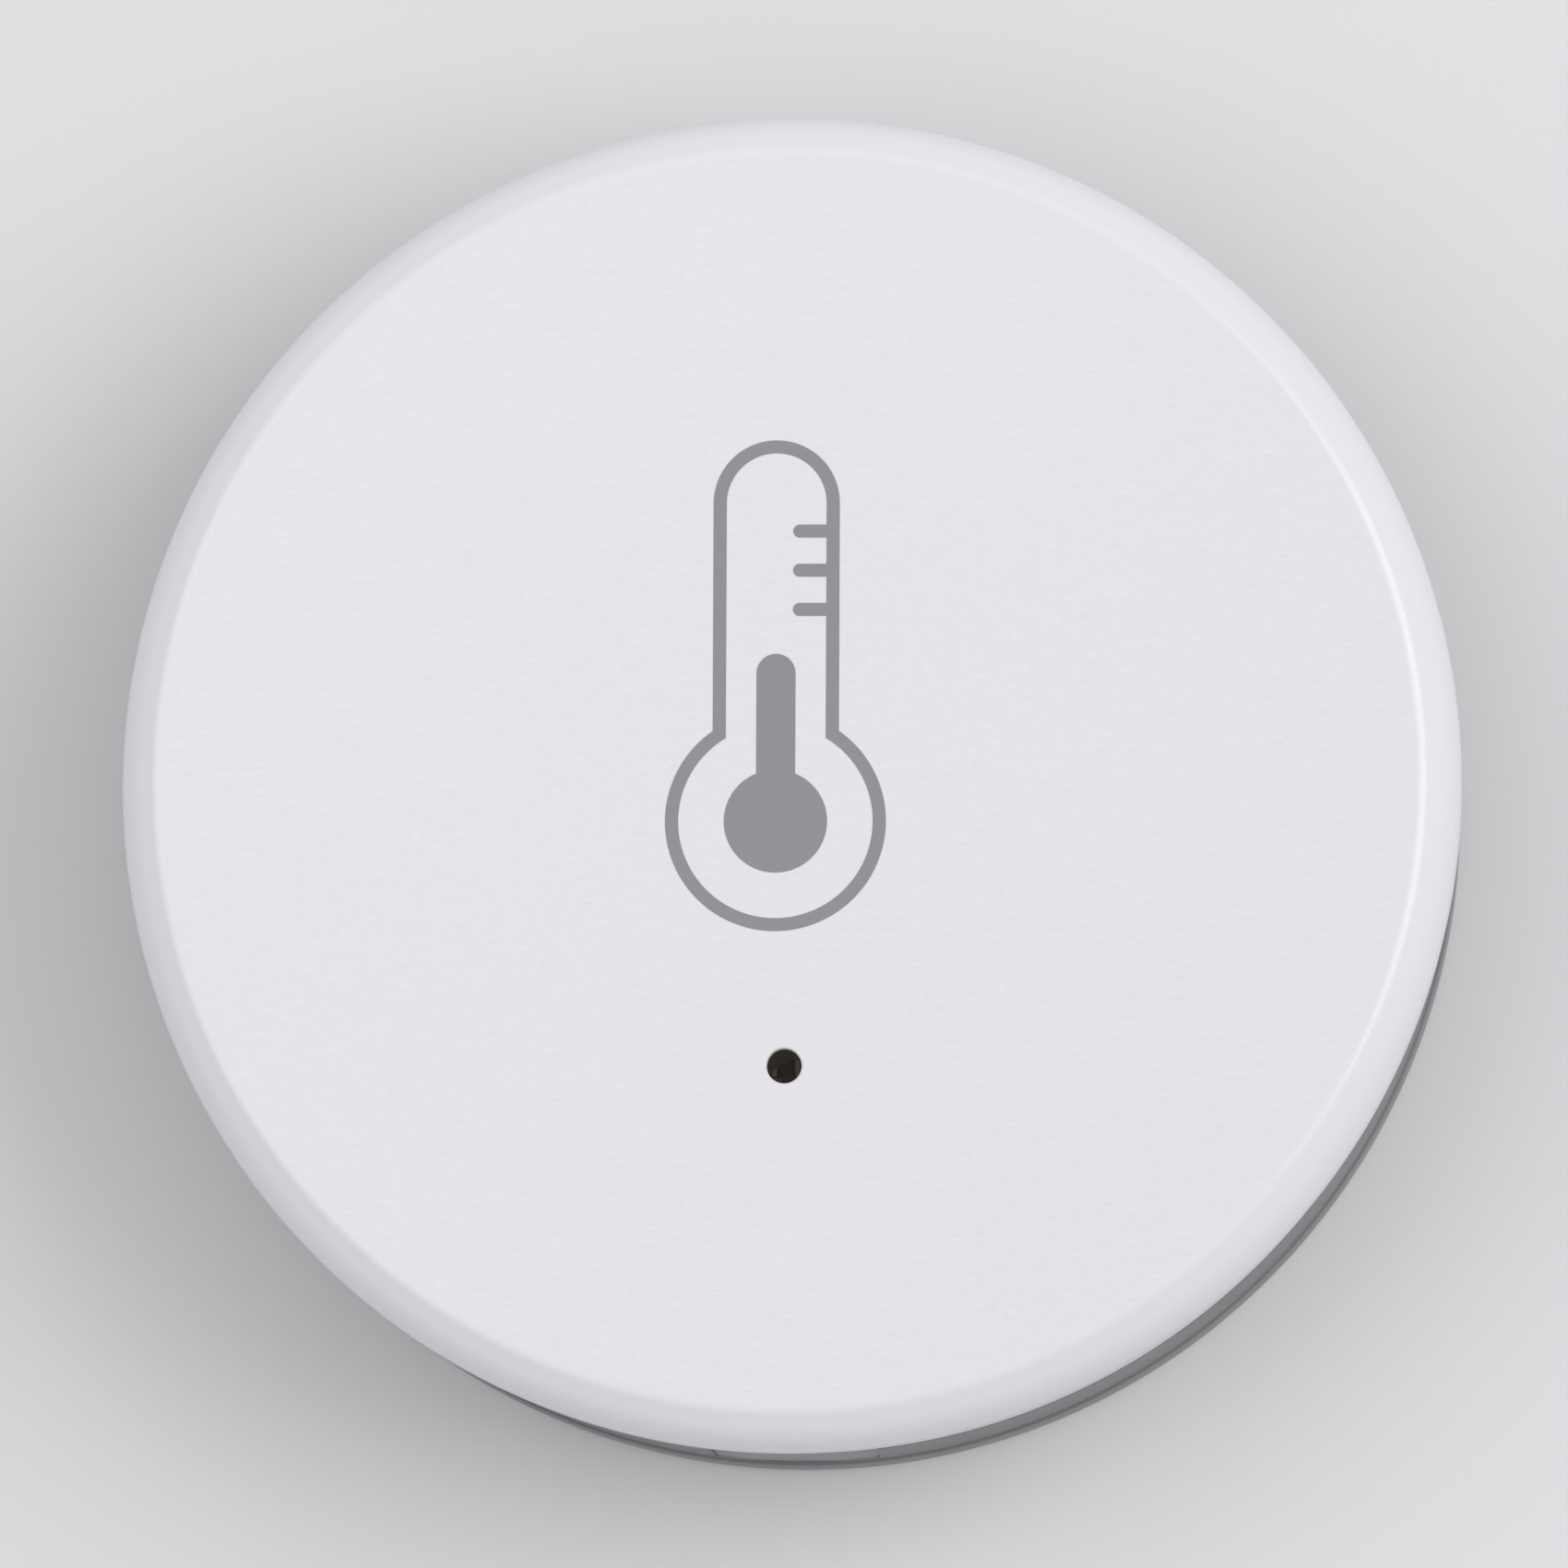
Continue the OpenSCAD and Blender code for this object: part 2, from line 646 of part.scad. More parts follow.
// The cap: a shallow dish below, whose wall stands up inside the gasket.
module cell_cap() {
    color("gainsboro") translate([0, cell_y, cell_z]) rotate_extrude()
        polygon([[0, 0], [cap_r - 2 * cell_skin, 0], [cap_r, 2 * cell_skin], [cap_r, cell_h / 2],
                 [cap_r - cell_skin, cell_h / 2], [cap_r - cell_skin, 2.5 * cell_skin],
                 [cap_r - 2.5 * cell_skin, cell_skin], [0, cell_skin]]);
}

module radio_chip() {
    dot_r = radio_w / 20;
    color([0.1, 0.1, 0.1]) difference() {
        block([radio_w, radio_w, radio_h], radio_at);
        translate(radio_at + [-0.4 * radio_w, 0.4 * radio_w, radio_h - dot_r / 4])
            cylinder(r = dot_r, h = over);
    }
}

module radio_crystal() {
    at = radio_at + [-(radio_w + crystal_l) / 2 - crystal_gap, radio_w / 2 - crystal_w / 4, 0];
    rim = crystal_w / 10;
    color("silver") {
        block([crystal_l, crystal_w, crystal_h / 2], at);
        block([crystal_l - rim, crystal_w - rim, crystal_h / 2 + lap], at + [0, 0, crystal_h / 2 - lap]);
    }
}

module antenna() {
    color("white") block([antenna_l, antenna_w, antenna_h], antenna_at);
}

// The matching inductor stands between the radio chip and the antenna.
module match_inductor() {
    at = antenna_at + [-antenna_l / 2 - chip_gap - chip_w / 2, antenna_w / 4, 0];
    color("steelblue") block([chip_w, chip_l, chip_cap_h], at);
}

module diode_base() {
    color("ivory") block([led_l, led_w, led_base_h], [0, led_y, board_top]);
}

module diode_lens() {
    top_l = led_l - 2 * led_end - led_lens_h / 2;
    color("lightyellow") translate([0, led_y + led_w / 2, board_top + led_base_h])
        rotate([90, 0, 0]) linear_extrude(led_w)
            polygon([[led_end - led_l / 2, 0], [led_l / 2 - led_end, 0], [top_l / 2, led_lens_h],
                     [-top_l / 2, led_lens_h]]);
}

module humidity_chip() {
    color([0.15, 0.15, 0.16]) difference() {
        block([humid_w, humid_w, humid_h], humid_at);
        translate(humid_at + [0, 0, humid_h - humid_hole_depth])
            cylinder(d = humid_hole_d, h = humid_hole_depth + over);
    }
}

module switch_base() {
    color([0.14, 0.14, 0.15]) difference() {
        block([switch_l, switch_w, switch_h], switch_at);
        translate(switch_at + [0, 0, switch_floor]) cylinder(d = switch_well_d, h = switch_h);
    }
}

// The snap dome: a thin shallow cap that stands on the floor of the switch.
module switch_dome() {
    foot = switch_well_d / 2 - 2 * button_clear;
    rise = dome_h - dome_t;
    dome_r = (foot * foot + rise * rise) / (2 * rise);
    edge = asin(foot / dome_r);
    color("silver") translate(switch_at + [0, 0, switch_floor + rise - dome_r]) rotate_extrude()
        polygon(concat(arc([0, 0], dome_r, 90, 90 - edge, 8),
                       arc([0, 0], dome_r + dome_t, 90 - edge, 90, 8)));
}

module switch_lid() {
    color("silver") difference() {
        union() {
            block([switch_l, switch_w, switch_lid_t], switch_at + [0, 0, switch_h]);
            for (s = [-1, 1])
                block([switch_l / 2, switch_lid_t, switch_tab_h + switch_lid_t],
                      switch_at + [0, s * (switch_w + switch_lid_t) / 2, switch_h - switch_tab_h]);
        }
        translate(switch_at + [0, 0, switch_h - over])
            cylinder(r = button_d / 2 + button_clear, h = switch_lid_t + 2 * over);
    }
}

module pairing_button() {
    top = switch_h + switch_lid_t + button_h;
    color("whitesmoke") translate(switch_at) rotate_extrude()
        polygon([[0, flange_top - button_flange_t], [button_flange_d / 2, flange_top - button_flange_t],
                 [button_flange_d / 2, flange_top], [button_d / 2, flange_top],
                 [button_d / 2, top - button_clear], [button_d / 2 - button_clear, top], [0, top]]);
}

module reservoir_capacitor() {
    color("goldenrod") block([tank_l, tank_w, tank_h], tank_at);
}

module supervisor_chip() {
    color([0.1, 0.1, 0.1])
        block([guard_l, guard_w, guard_h], guard_at + [0, 0, guard_lift]);
}

// Three leads: they leave the chip halfway up and bend down to flat feet on the board.
module supervisor_leads() {
    mid = guard_lift + guard_h / 2;
    low = lead_t / 2;
    foot = guard_w / 2 + lead_reach;
    path = [[guard_w / 2, mid], [guard_w / 2 + lead_t, mid], [guard_w / 2 + 2 * lead_t, low],
            [foot, low]];
    color("silver") translate(guard_at) {
        rotate([0, 0, 90]) bent_strip(path, lead_t, lead_w);
        for (s = [-1, 1]) translate([s * lead_pitch / 2, 0, 0])
            rotate([0, 0, -90]) bent_strip(path, lead_t, lead_w);
    }
}

// Small chips stand in short rows beside the parts that they serve.
module chip_row(n, h, at) {
    for (i = [0:n - 1])
        block([chip_w, chip_l, h], at + [(i - (n - 1) / 2) * chip_pitch, 0, 0]);
}

module chip_capacitors() {
    color("tan") {
        chip_row(4, chip_cap_h, radio_at + [-chip_pitch / 4, (radio_w + chip_l) / 2 + chip_gap, 0]);
        chip_row(2, chip_cap_h, tank_at - [chip_pitch / 2, (tank_w + chip_l) / 2 + chip_gap, 0]);
    }
}

module chip_resistors() {
    color([0.1, 0.1, 0.12]) {
        chip_row(2, chip_res_h, on_board(screw_inset, 0, board_top));
        chip_row(1, chip_res_h, switch_at - [(switch_l + chip_w) / 2 + chip_gap, 0, 0]);
    }
}

rear_housing();
front_cover();
circuit_board();
board_screws();
cell_holder();
side_contacts();
lower_contact();
cell_can();
cell_gasket();
cell_cap();
radio_chip();
radio_crystal();
antenna();
match_inductor();
diode_base();
diode_lens();
humidity_chip();
switch_base();
switch_dome();
switch_lid();
pairing_button();
reservoir_capacitor();
supervisor_chip();
supervisor_leads();
chip_capacitors();
chip_resistors();
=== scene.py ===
"""Round wireless sensor for room temperature and humidity: dressed model, floor, light and camera.

All sizes are in millimetres until a piece is finished, when it is brought to metres.
+X points to the right of the face, +Y to its top and +Z out of it.
The origin is the middle of the back.
"""

import logging
import math
from dataclasses import dataclass, field
from enum import Enum
from typing import Callable, Dict, List, Optional, Sequence, Tuple, Union

import bpy
from mathutils import Matrix, Vector


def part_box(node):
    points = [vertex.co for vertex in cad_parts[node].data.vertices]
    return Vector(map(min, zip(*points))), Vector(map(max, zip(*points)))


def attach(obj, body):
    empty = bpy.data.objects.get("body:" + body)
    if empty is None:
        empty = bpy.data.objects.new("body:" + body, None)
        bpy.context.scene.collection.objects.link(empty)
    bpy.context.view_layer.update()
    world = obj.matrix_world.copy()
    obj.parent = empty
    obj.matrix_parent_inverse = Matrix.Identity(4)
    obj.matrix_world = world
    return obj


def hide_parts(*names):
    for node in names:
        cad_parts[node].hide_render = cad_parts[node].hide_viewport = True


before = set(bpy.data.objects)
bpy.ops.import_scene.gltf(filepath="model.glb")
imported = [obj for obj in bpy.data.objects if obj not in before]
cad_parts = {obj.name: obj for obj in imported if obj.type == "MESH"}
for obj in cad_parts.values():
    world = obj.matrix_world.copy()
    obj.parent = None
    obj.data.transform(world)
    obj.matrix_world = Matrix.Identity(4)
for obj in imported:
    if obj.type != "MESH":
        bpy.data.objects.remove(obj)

MM = 0.001  # a millimetre in metres
LAP = 0.15  # how far a piece reaches into the one that it is fused with
OVER = 0.5  # how far a cutter reaches past what it cuts
MERGE = 0.0005  # points closer than this become one
NEAR = 0.01  # a point this close to a plane counts as on it
FACING = 0.9  # a side faces a way when its normal goes at least this far along it
FINISH = "_finish"
LOG = logging.getLogger("climate_sensor")

Point = Tuple[float, float]
Place = Tuple[float, float, float]
Colour = Tuple[float, float, float]
Input = Union[float, Sequence[float], "Sock"]
Solid = bpy.types.Object
Material = bpy.types.Material
World = bpy.types.World


def tone(red: int, green: int, blue: int) -> Colour:
    """A colour as the screen shows it, from 0 to 255, turned into light."""
    shares = (value / 255 for value in (red, green, blue))
    return tuple(s / 12.92 if s <= 0.04045 else ((s + 0.055) / 1.055) ** 2.4 for s in shares)


def rgba(colour: Input) -> Input:
    """A plain colour with its alpha, or a node's output as it is."""
    return (*colour, 1.0) if isinstance(colour, tuple) else colour


def heading(azimuth: float, elevation: float = 0) -> Vector:
    """A direction of length one, so many degrees from +X towards +Y and so many above the floor."""
    flat, up = math.radians(azimuth), math.radians(elevation)
    return Vector((math.cos(up) * math.cos(flat), math.cos(up) * math.sin(flat), math.sin(up)))


def arc(centre: Point, radius: float, start: float, end: float, steps: int) -> List[Point]:
    """Points on an arc, from one angle in degrees to another, both included."""
    angles = [math.radians(start + (end - start) * i / steps) for i in range(steps + 1)]
    return [(centre[0] + radius * math.cos(a), centre[1] + radius * math.sin(a)) for a in angles]


def band(inner: float, outer: float, low: float, high: float) -> List[Point]:
    """The corners of a rectangle between two radii and two heights."""
    return [(inner, low), (outer, low), (outer, high), (inner, high)]


class Body(Enum):
    """The bodies that move on their own."""

    BASE = "base"
    COVER = "cover"
    CELL = "cell"
    BUTTON = "button"


class Part(Enum):
    """What of a mesh a selection is made of."""

    VERTEX = 0
    EDGE = 1
    FACE = 2


class Bench:
    """A workbench in millimetres: each method shapes pieces with Blender's own operators."""

    @staticmethod
    def clear() -> None:
        """Leaves edit mode and deselects every object."""
        if bpy.context.object and bpy.context.object.mode != "OBJECT":
            bpy.ops.object.mode_set(mode="OBJECT")
        bpy.ops.object.select_all(action="DESELECT")

    @staticmethod
    def only(piece: Solid) -> None:
        """Selects one object alone and makes it the active one.

        Args:
            piece: the object.
        """
        Bench.clear()
        piece.select_set(True)
        bpy.context.view_layer.objects.active = piece

    @staticmethod
    def pick(piece: Solid, part: Part, test: Callable[[Vector, Vector], bool]) -> None:
        """Opens edit mode with the parts that pass a test selected.

        Args:
            piece: the mesh object.
            part: vertices, edges or faces.
            test: called with the place and the normal of each part; an edge gives its direction.
        """
        Bench.only(piece)
        mesh = piece.data
        for group in (mesh.vertices, mesh.edges, mesh.polygons):
            group.foreach_set("select", [False] * len(group))
        if part is Part.VERTEX:
            chosen = [v for v in mesh.vertices if test(v.co, v.normal)]
        elif part is Part.EDGE:
            chosen = []
            for edge in mesh.edges:
                a, b = (mesh.vertices[i].co for i in edge.vertices)
                if test((a + b) / 2, (b - a).normalized()):
                    chosen.append(edge)
        else:
            chosen = [f for f in mesh.polygons if test(f.center, f.normal)]
        for item in chosen:
            item.select = True
        bpy.context.tool_settings.mesh_select_mode = [part.value == i for i in range(3)]
        bpy.ops.object.mode_set(mode="EDIT")

    @staticmethod
    def open(piece: Solid) -> None:
        """Opens edit mode with everything selected."""
        Bench.pick(piece, Part.VERTEX, lambda place, normal: True)

    @staticmethod
    def done() -> None:
        """Goes back to object mode."""
        bpy.ops.object.mode_set(mode="OBJECT")

    @staticmethod
    def name(piece: Solid, name: str) -> Solid:
        """Names an object and its mesh."""
        piece.name = piece.data.name = name
        return piece

    @staticmethod
    def settle(piece: Solid) -> Solid:
        """Moves an object's place, turn and scale into its mesh.

        Args:
            piece: the object.

        Returns:
            The object, unmoved, unturned and unscaled.
        """
        Bench.only(piece)
        bpy.ops.object.transform_apply(location=True, rotation=True, scale=True)
        return piece

    @staticmethod
    def outward(piece: Solid) -> None:
        """Merges doubled points, closes open ends and turns all faces outwards.

        Args:
            piece: the object.
        """
        Bench.open(piece)
        bpy.ops.mesh.remove_doubles(threshold=MERGE)
        bpy.ops.mesh.fill_holes(sides=0)
        bpy.ops.mesh.select_all(action="SELECT")
        bpy.ops.mesh.normals_make_consistent(inside=False)
        Bench.done()

    @staticmethod
    def lathe(name: str, outline: Sequence[Point], at: Point = (0, 0), steps: int = 96, ring: bool = False) -> Solid:
        """Turns an outline about an upright axis.

        Args:
            name: name of the piece.
            outline: radius and height of each ring.
            at: where the axis stands.
            steps: number of points round a ring.
            ring: True if the outline closes on itself, or else its first and last rings are filled.

        Returns:
            The closed piece.
        """
        Bench.clear()
        radius, height = outline[0]
        bpy.ops.mesh.primitive_circle_add(vertices=steps, radius=radius, location=(0, 0, height))
        piece = Bench.settle(bpy.context.object)
        bpy.context.tool_settings.mesh_select_mode = (False, True, False)
        bpy.ops.object.mode_set(mode="EDIT")
        bpy.ops.mesh.select_all(action="SELECT")
        if not ring:
            bpy.ops.mesh.edge_face_add()
            bpy.ops.mesh.select_all(action="SELECT")
        for r, z in [*outline[1:], outline[0]] if ring else outline[1:]:
            bpy.ops.mesh.extrude_edges_indiv()
            bpy.ops.transform.resize(value=(r / radius, r / radius, 1), center_override=(0, 0, height))
            bpy.ops.transform.translate(value=(0, 0, z - height))
            radius, height = r, z
        if not ring:
            bpy.ops.mesh.edge_face_add()
        Bench.done()
        Bench.outward(piece)
        piece.location = (at[0], at[1], 0)
        return Bench.name(Bench.settle(piece), name)

    @staticmethod
    def rod(name: str, radius: float, low: float, high: float, at: Point, steps: int) -> Solid:
        """A plain upright cylinder between two heights."""
        return Bench.lathe(name, [(radius, low), (radius, high)], at, steps)

    @staticmethod
    def sweep(name: str, outline: Sequence[Point], middle: float, span: float, steps: int = 12) -> Solid:
        """Sweeps a closed outline about the Z axis through part of a turn.

        Args:
            name: name of the piece.
            outline: radius and height of its corners, in order.
            middle: angle of its middle in degrees.
            span: angle that it covers in degrees.
            steps: steps along the way.

        Returns:
            The closed piece.
        """
        Bench.clear()
        bpy.ops.mesh.primitive_circle_add(vertices=len(outline), fill_type="NGON")
        piece = bpy.context.object
        for vertex, (r, z) in zip(piece.data.vertices, outline):
            vertex.co = (r, 0, z)
        Bench.open(piece)
        bpy.ops.mesh.spin(steps=steps, angle=math.radians(span), center=(0, 0, 0), axis=(0, 0, 1), dupli=False)
        Bench.done()
        Bench.outward(piece)
        centre = sum((v.co for v in piece.data.vertices), Vector()) / len(piece.data.vertices)
        Bench.turn(piece, middle - math.degrees(math.atan2(centre.y, centre.x)))
        return Bench.name(piece, name)

    @staticmethod
    def block(name: str, size: Sequence[float], foot: Sequence[float], ease: float = 0, segments: int = 2) -> Solid:
        """A box that stands on a place, with eased edges.

        Args:
            name: name of the piece.
            size: its sides.
            foot: middle of its lower side.
            ease: width of the rounding on every edge, or 0 for none.
            segments: steps in that rounding.

        Returns:
            The box.
        """
        Bench.clear()
        bpy.ops.mesh.primitive_cube_add(size=1, location=(foot[0], foot[1], foot[2] + size[2] / 2))
        piece = bpy.context.object
        piece.scale = size
        Bench.settle(piece)
        if ease:
            Bench.ease(piece, ease, segments)
        return Bench.name(piece, name)

    @staticmethod
    def draft(piece: Solid, share: float, side: int = 1) -> None:
        """Draws in the top or the underside of a block, as a mould's slope does.

        Args:
            piece: the block.
            share: what is left of that side's width.
            side: 1 for the top, -1 for the underside.
        """
        Bench.pick(piece, Part.FACE, lambda place, normal: side * normal.z > FACING)
        bpy.ops.transform.resize(value=(share, share, 1))
        Bench.done()

    @staticmethod
    def ease(piece: Solid, width: float, segments: int = 2, angle: float = 35) -> None:
        """Rounds every edge that is sharper than an angle.

        Args:
            piece: the object.
            width: width of the rounding.
            segments: steps in it.
            angle: the angle in degrees.
        """
        Bench.only(piece)
        modifier = piece.modifiers.new("ease", "BEVEL")
        modifier.width = width
        modifier.segments = segments
        modifier.limit_method = "ANGLE"
        modifier.angle_limit = math.radians(angle)
        bpy.ops.object.modifier_apply(modifier=modifier.name)

    @staticmethod
    def turn(piece: Solid, degrees: float, centre: Sequence[float] = (0, 0, 0)) -> Solid:
        """Turns a piece about an upright axis, anticlockwise from above.

        Args:
            piece: the object.
            degrees: how far.
            centre: a point on the axis.

        Returns:
            The object.
        """
        spin = Matrix.Translation(centre) @ Matrix.Rotation(math.radians(degrees), 4, "Z")
        piece.matrix_world = spin @ Matrix.Translation([-c for c in centre]) @ piece.matrix_world
        return Bench.settle(piece)

    @staticmethod
    def combine(piece: Solid, tool: Solid, operation: str) -> None:
        """Adds a tool's solid to a piece or takes it away, and removes the tool.

        Args:
            piece: the object that is kept.
            tool: the other one.
            operation: "UNION" or "DIFFERENCE".
        """
        Bench.only(piece)
        modifier = piece.modifiers.new(operation.lower(), "BOOLEAN")
        modifier.operation = operation
        modifier.solver = "EXACT"
        modifier.object = tool
        bpy.ops.object.modifier_apply(modifier=modifier.name)
        bpy.data.objects.remove(tool, do_unlink=True)

    @staticmethod
    def cut(piece: Solid, *tools: Solid) -> None:
        """Takes each tool's solid away from a piece."""
        for tool in tools:
            Bench.combine(piece, tool, "DIFFERENCE")

    @staticmethod
    def fuse(piece: Solid, *tools: Solid) -> Solid:
        """Adds each tool's solid to a piece.

        Args:
            piece: the object that is kept.
            tools: the others, which are used up.

        Returns:
            The piece.
        """
        for tool in tools:
            Bench.combine(piece, tool, "UNION")
        return piece

    @staticmethod
    def join(name: str, pieces: Sequence[Solid]) -> Solid:
        """Makes one object of several that don't touch.

        Args:
            name: its name.
            pieces: the objects.

        Returns:
            The one object.
        """
        Bench.only(pieces[0])
        for piece in pieces:
            piece.select_set(True)
        if len(pieces) > 1:
            bpy.ops.object.join()
        return Bench.name(bpy.context.object, name)

    @staticmethod
    def copy(node: str) -> Solid:
        """A copy of a solid in millimetres, with its points merged and its flat sides whole.

        Args:
            node: the solid's name.

        Returns:
            The copy.
        """
        Bench.clear()
        piece = bpy.data.objects.new(node + "_copy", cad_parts[node].data.copy())
        bpy.context.collection.objects.link(piece)
        piece.scale = (1 / MM, 1 / MM, 1 / MM)
        Bench.settle(piece)
        bpy.ops.mesh.customdata_custom_splitnormals_clear()
        Bench.open(piece)
        bpy.ops.mesh.remove_doubles(threshold=MERGE)
        bpy.ops.mesh.dissolve_limited(angle_limit=math.radians(1))
        Bench.done()
        return piece

    @staticmethod
    def finish(
        piece: Solid,
        body: Body,
        slot: str,
        material: Material,
        replaced: Sequence[str] = (),
        angle: float = 30,
    ) -> None:
        """Brings a piece to metres, dresses it and lets it ride on its body.

        Args:
            piece: the piece in millimetres.
            body: the body that it moves with.
            slot: not used.
            material: its material.
            replaced: the solids that it stands for.
            angle: edges sharper than this stay crisp.
        """
        Bench.only(piece)
        bpy.ops.object.shade_smooth_by_angle(angle=math.radians(angle))
        piece.scale = (MM, MM, MM)
        Bench.settle(piece)
        modifier = piece.modifiers.new("flat_sides", "WEIGHTED_NORMAL")
        modifier.keep_sharp = True
        bpy.ops.object.modifier_apply(modifier=modifier.name)
        piece.data.materials.clear()
        piece.data.materials.append(material)
        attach(piece, body.value)
        if replaced:
            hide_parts(*replaced)
        LOG.info("%s: %d faces on %s", piece.name, len(piece.data.polygons), body.value)
        Bench.clear()


@dataclass(frozen=True)
class Extent:
    """The room that a solid takes, in millimetres."""

    low: Vector
    high: Vector

    @classmethod
    def of(cls, node: str) -> "Extent":
        """The room of a node."""
        low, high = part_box(node)
        return cls(low / MM, high / MM)

    @classmethod
    def row(cls, *nodes: str) -> List["Extent"]:
        """The room of several nodes."""
        return [cls.of(node) for node in nodes]

    @classmethod
    def each(cls, node: str) -> List["Extent"]:
        """The room of each loose solid of a node.

        Args:
            node: the node's name.

        Returns:
            The rooms from left to right.
        """
        Bench.open(Bench.copy(node))
        bpy.ops.mesh.separate(type="LOOSE")
        Bench.done()
        found = []
        for piece in list(bpy.context.selected_objects):
            corners = [v.co for v in piece.data.vertices]
            low, high = (Vector([pick(c[i] for c in corners) for i in range(3)]) for pick in (min, max))
            found.append(cls(low, high))
            bpy.data.objects.remove(piece, do_unlink=True)
        return sorted(found, key=lambda box: (round(box.low.x, 2), box.low.y))

    @property
    def size(self) -> Vector:
        """Its sides."""
        return self.high - self.low

    @property
    def foot(self) -> Vector:
        """Middle of its lower side."""
        middle = (self.low + self.high) / 2
        return Vector((middle.x, middle.y, self.low.z))

    def at(self, x_share: float, y_share: float, gap: float = 0) -> Point:
        """A place seen from above.

        Args:
            x_share: how far from the middle along X, as a share of half the length.
            y_share: the same along Y.
            gap: distance outwards from the sides that are reached.

        Returns:
            The place.
        """
        place = []
        for i, share in enumerate((x_share, y_share)):
            outwards = math.copysign(gap, share) if abs(share) > 0.999 else 0
            place.append(self.foot[i] + share * self.size[i] / 2 + outwards)
        return place[0], place[1]


@dataclass(frozen=True)
class Layout:
    """Sizes that pieces share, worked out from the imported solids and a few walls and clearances."""

    cover: Extent
    housing: Extent
    board: Extent
    cell: Extent
    diode: Extent
    foot_w: float = 0.08
    board_clear: float = 0.15
    rim_wall: float = 0.8
    rim_clear: float = 0.2
    seam_gap: float = 0.12
    bead_t: float = 0.12
    bead_h: float = 0.8
    bead_z: float = 5.35
    bead_arc: float = 14.0
    bead_angles: Tuple[float, ...] = (45, 135, 225, 315)

    @classmethod
    def measured(cls) -> "Layout":
        """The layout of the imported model."""
        return cls(*Extent.row("front_cover", "rear_housing", "circuit_board", "cell_can", "diode_base"))

    @property
    def body_r(self) -> float:
        """Radius of the cover where it is widest."""
        return self.cover.high.x

    @property
    def seam_r(self) -> float:
        """Radius at the seam."""
        return self.housing.high.x - self.foot_w

    @property
    def rim_in_r(self) -> float:
        """Inner radius of the locating rim."""
        return self.board.high.x + self.board_clear

    @property
    def rim_r(self) -> float:
        """Outer radius of the locating rim."""
        return self.rim_in_r + self.rim_wall

    @property
    def cover_in_r(self) -> float:
        """Inner radius of the cover's wall."""
        return self.rim_r + self.rim_clear

    def beads(self, radius: float, depth: float, height: float, span: float) -> List[Solid]:
        """The snap beads on a wall, or the grooves for them.

        Args:
            radius: radius of the wall.
            depth: how far a bead stands inwards.
            height: its height.
            span: angle that it covers.

        Returns:
            The beads as solids that reach into the wall.
        """
        half = height / 2
        outline = [
            (radius + LAP, -half - LAP),
            (radius, -half),
            (radius - depth, -half / 2),
            (radius - depth, half / 2),
            (radius, half),
            (radius + LAP, half + LAP),
        ]
        raised = [(r, self.bead_z + z) for r, z in outline]
        return [Bench.sweep("bead", raised, angle, span) for angle in self.bead_angles]


class Sock:
    """A node's output that takes part in Python sums."""

    def __init__(self, recipe: "Recipe", socket: bpy.types.NodeSocket) -> None:
        """Keeps the socket and the recipe that it belongs to."""
        self.recipe = recipe
        self.socket = socket

    def sum(self, operation: str, *values: Input) -> "Sock":
        """A Math node over values."""
        return self.recipe.node("ShaderNodeMath", {"operation": operation}, dict(enumerate(values)))

    def __add__(self, other: Input) -> "Sock":
        """self + other"""
        return self.sum("ADD", self, other)

    def __radd__(self, other: Input) -> "Sock":
        """other + self"""
        return self.sum("ADD", other, self)

    def __sub__(self, other: Input) -> "Sock":
        """self - other"""
        return self.sum("SUBTRACT", self, other)

    def __rsub__(self, other: Input) -> "Sock":
        """other - self"""
        return self.sum("SUBTRACT", other, self)

    def __mul__(self, other: Input) -> "Sock":
        """self * other"""
        return self.sum("MULTIPLY", self, other)

    def __rmul__(self, other: Input) -> "Sock":
        """other * self"""
        return self.sum("MULTIPLY", other, self)

    def __abs__(self) -> "Sock":
        """abs(self)"""
        return self.sum("ABSOLUTE", self)

    def sine(self) -> "Sock":
        """The sine of an angle in radians."""
        return self.sum("SINE", self)

    def centred(self) -> "Sock":
        """A value from 0 to 1 brought to lie about 0."""
        return self - 0.5

    def above(self, edge: float, width: float) -> "Sock":
        """A mask that rises from 0 to 1 over a width, centred on an edge."""
        values = {0: self, 1: edge - width / 2, 2: edge + width / 2, 3: 0.0, 4: 1.0}
        return self.recipe.node("ShaderNodeMapRange", {"interpolation_type": "SMOOTHSTEP"}, values)

    def below(self, edge: float, width: float) -> "Sock":
        """A mask that falls from 1 to 0 over a width, centred on an edge."""
        return 1 - self.above(edge, width)


@dataclass(frozen=True)
class Layer:
    """A pattern, and how much it lightens and roughens a surface."""

    pattern: Sock
    light: float = 0
    rough: float = 0


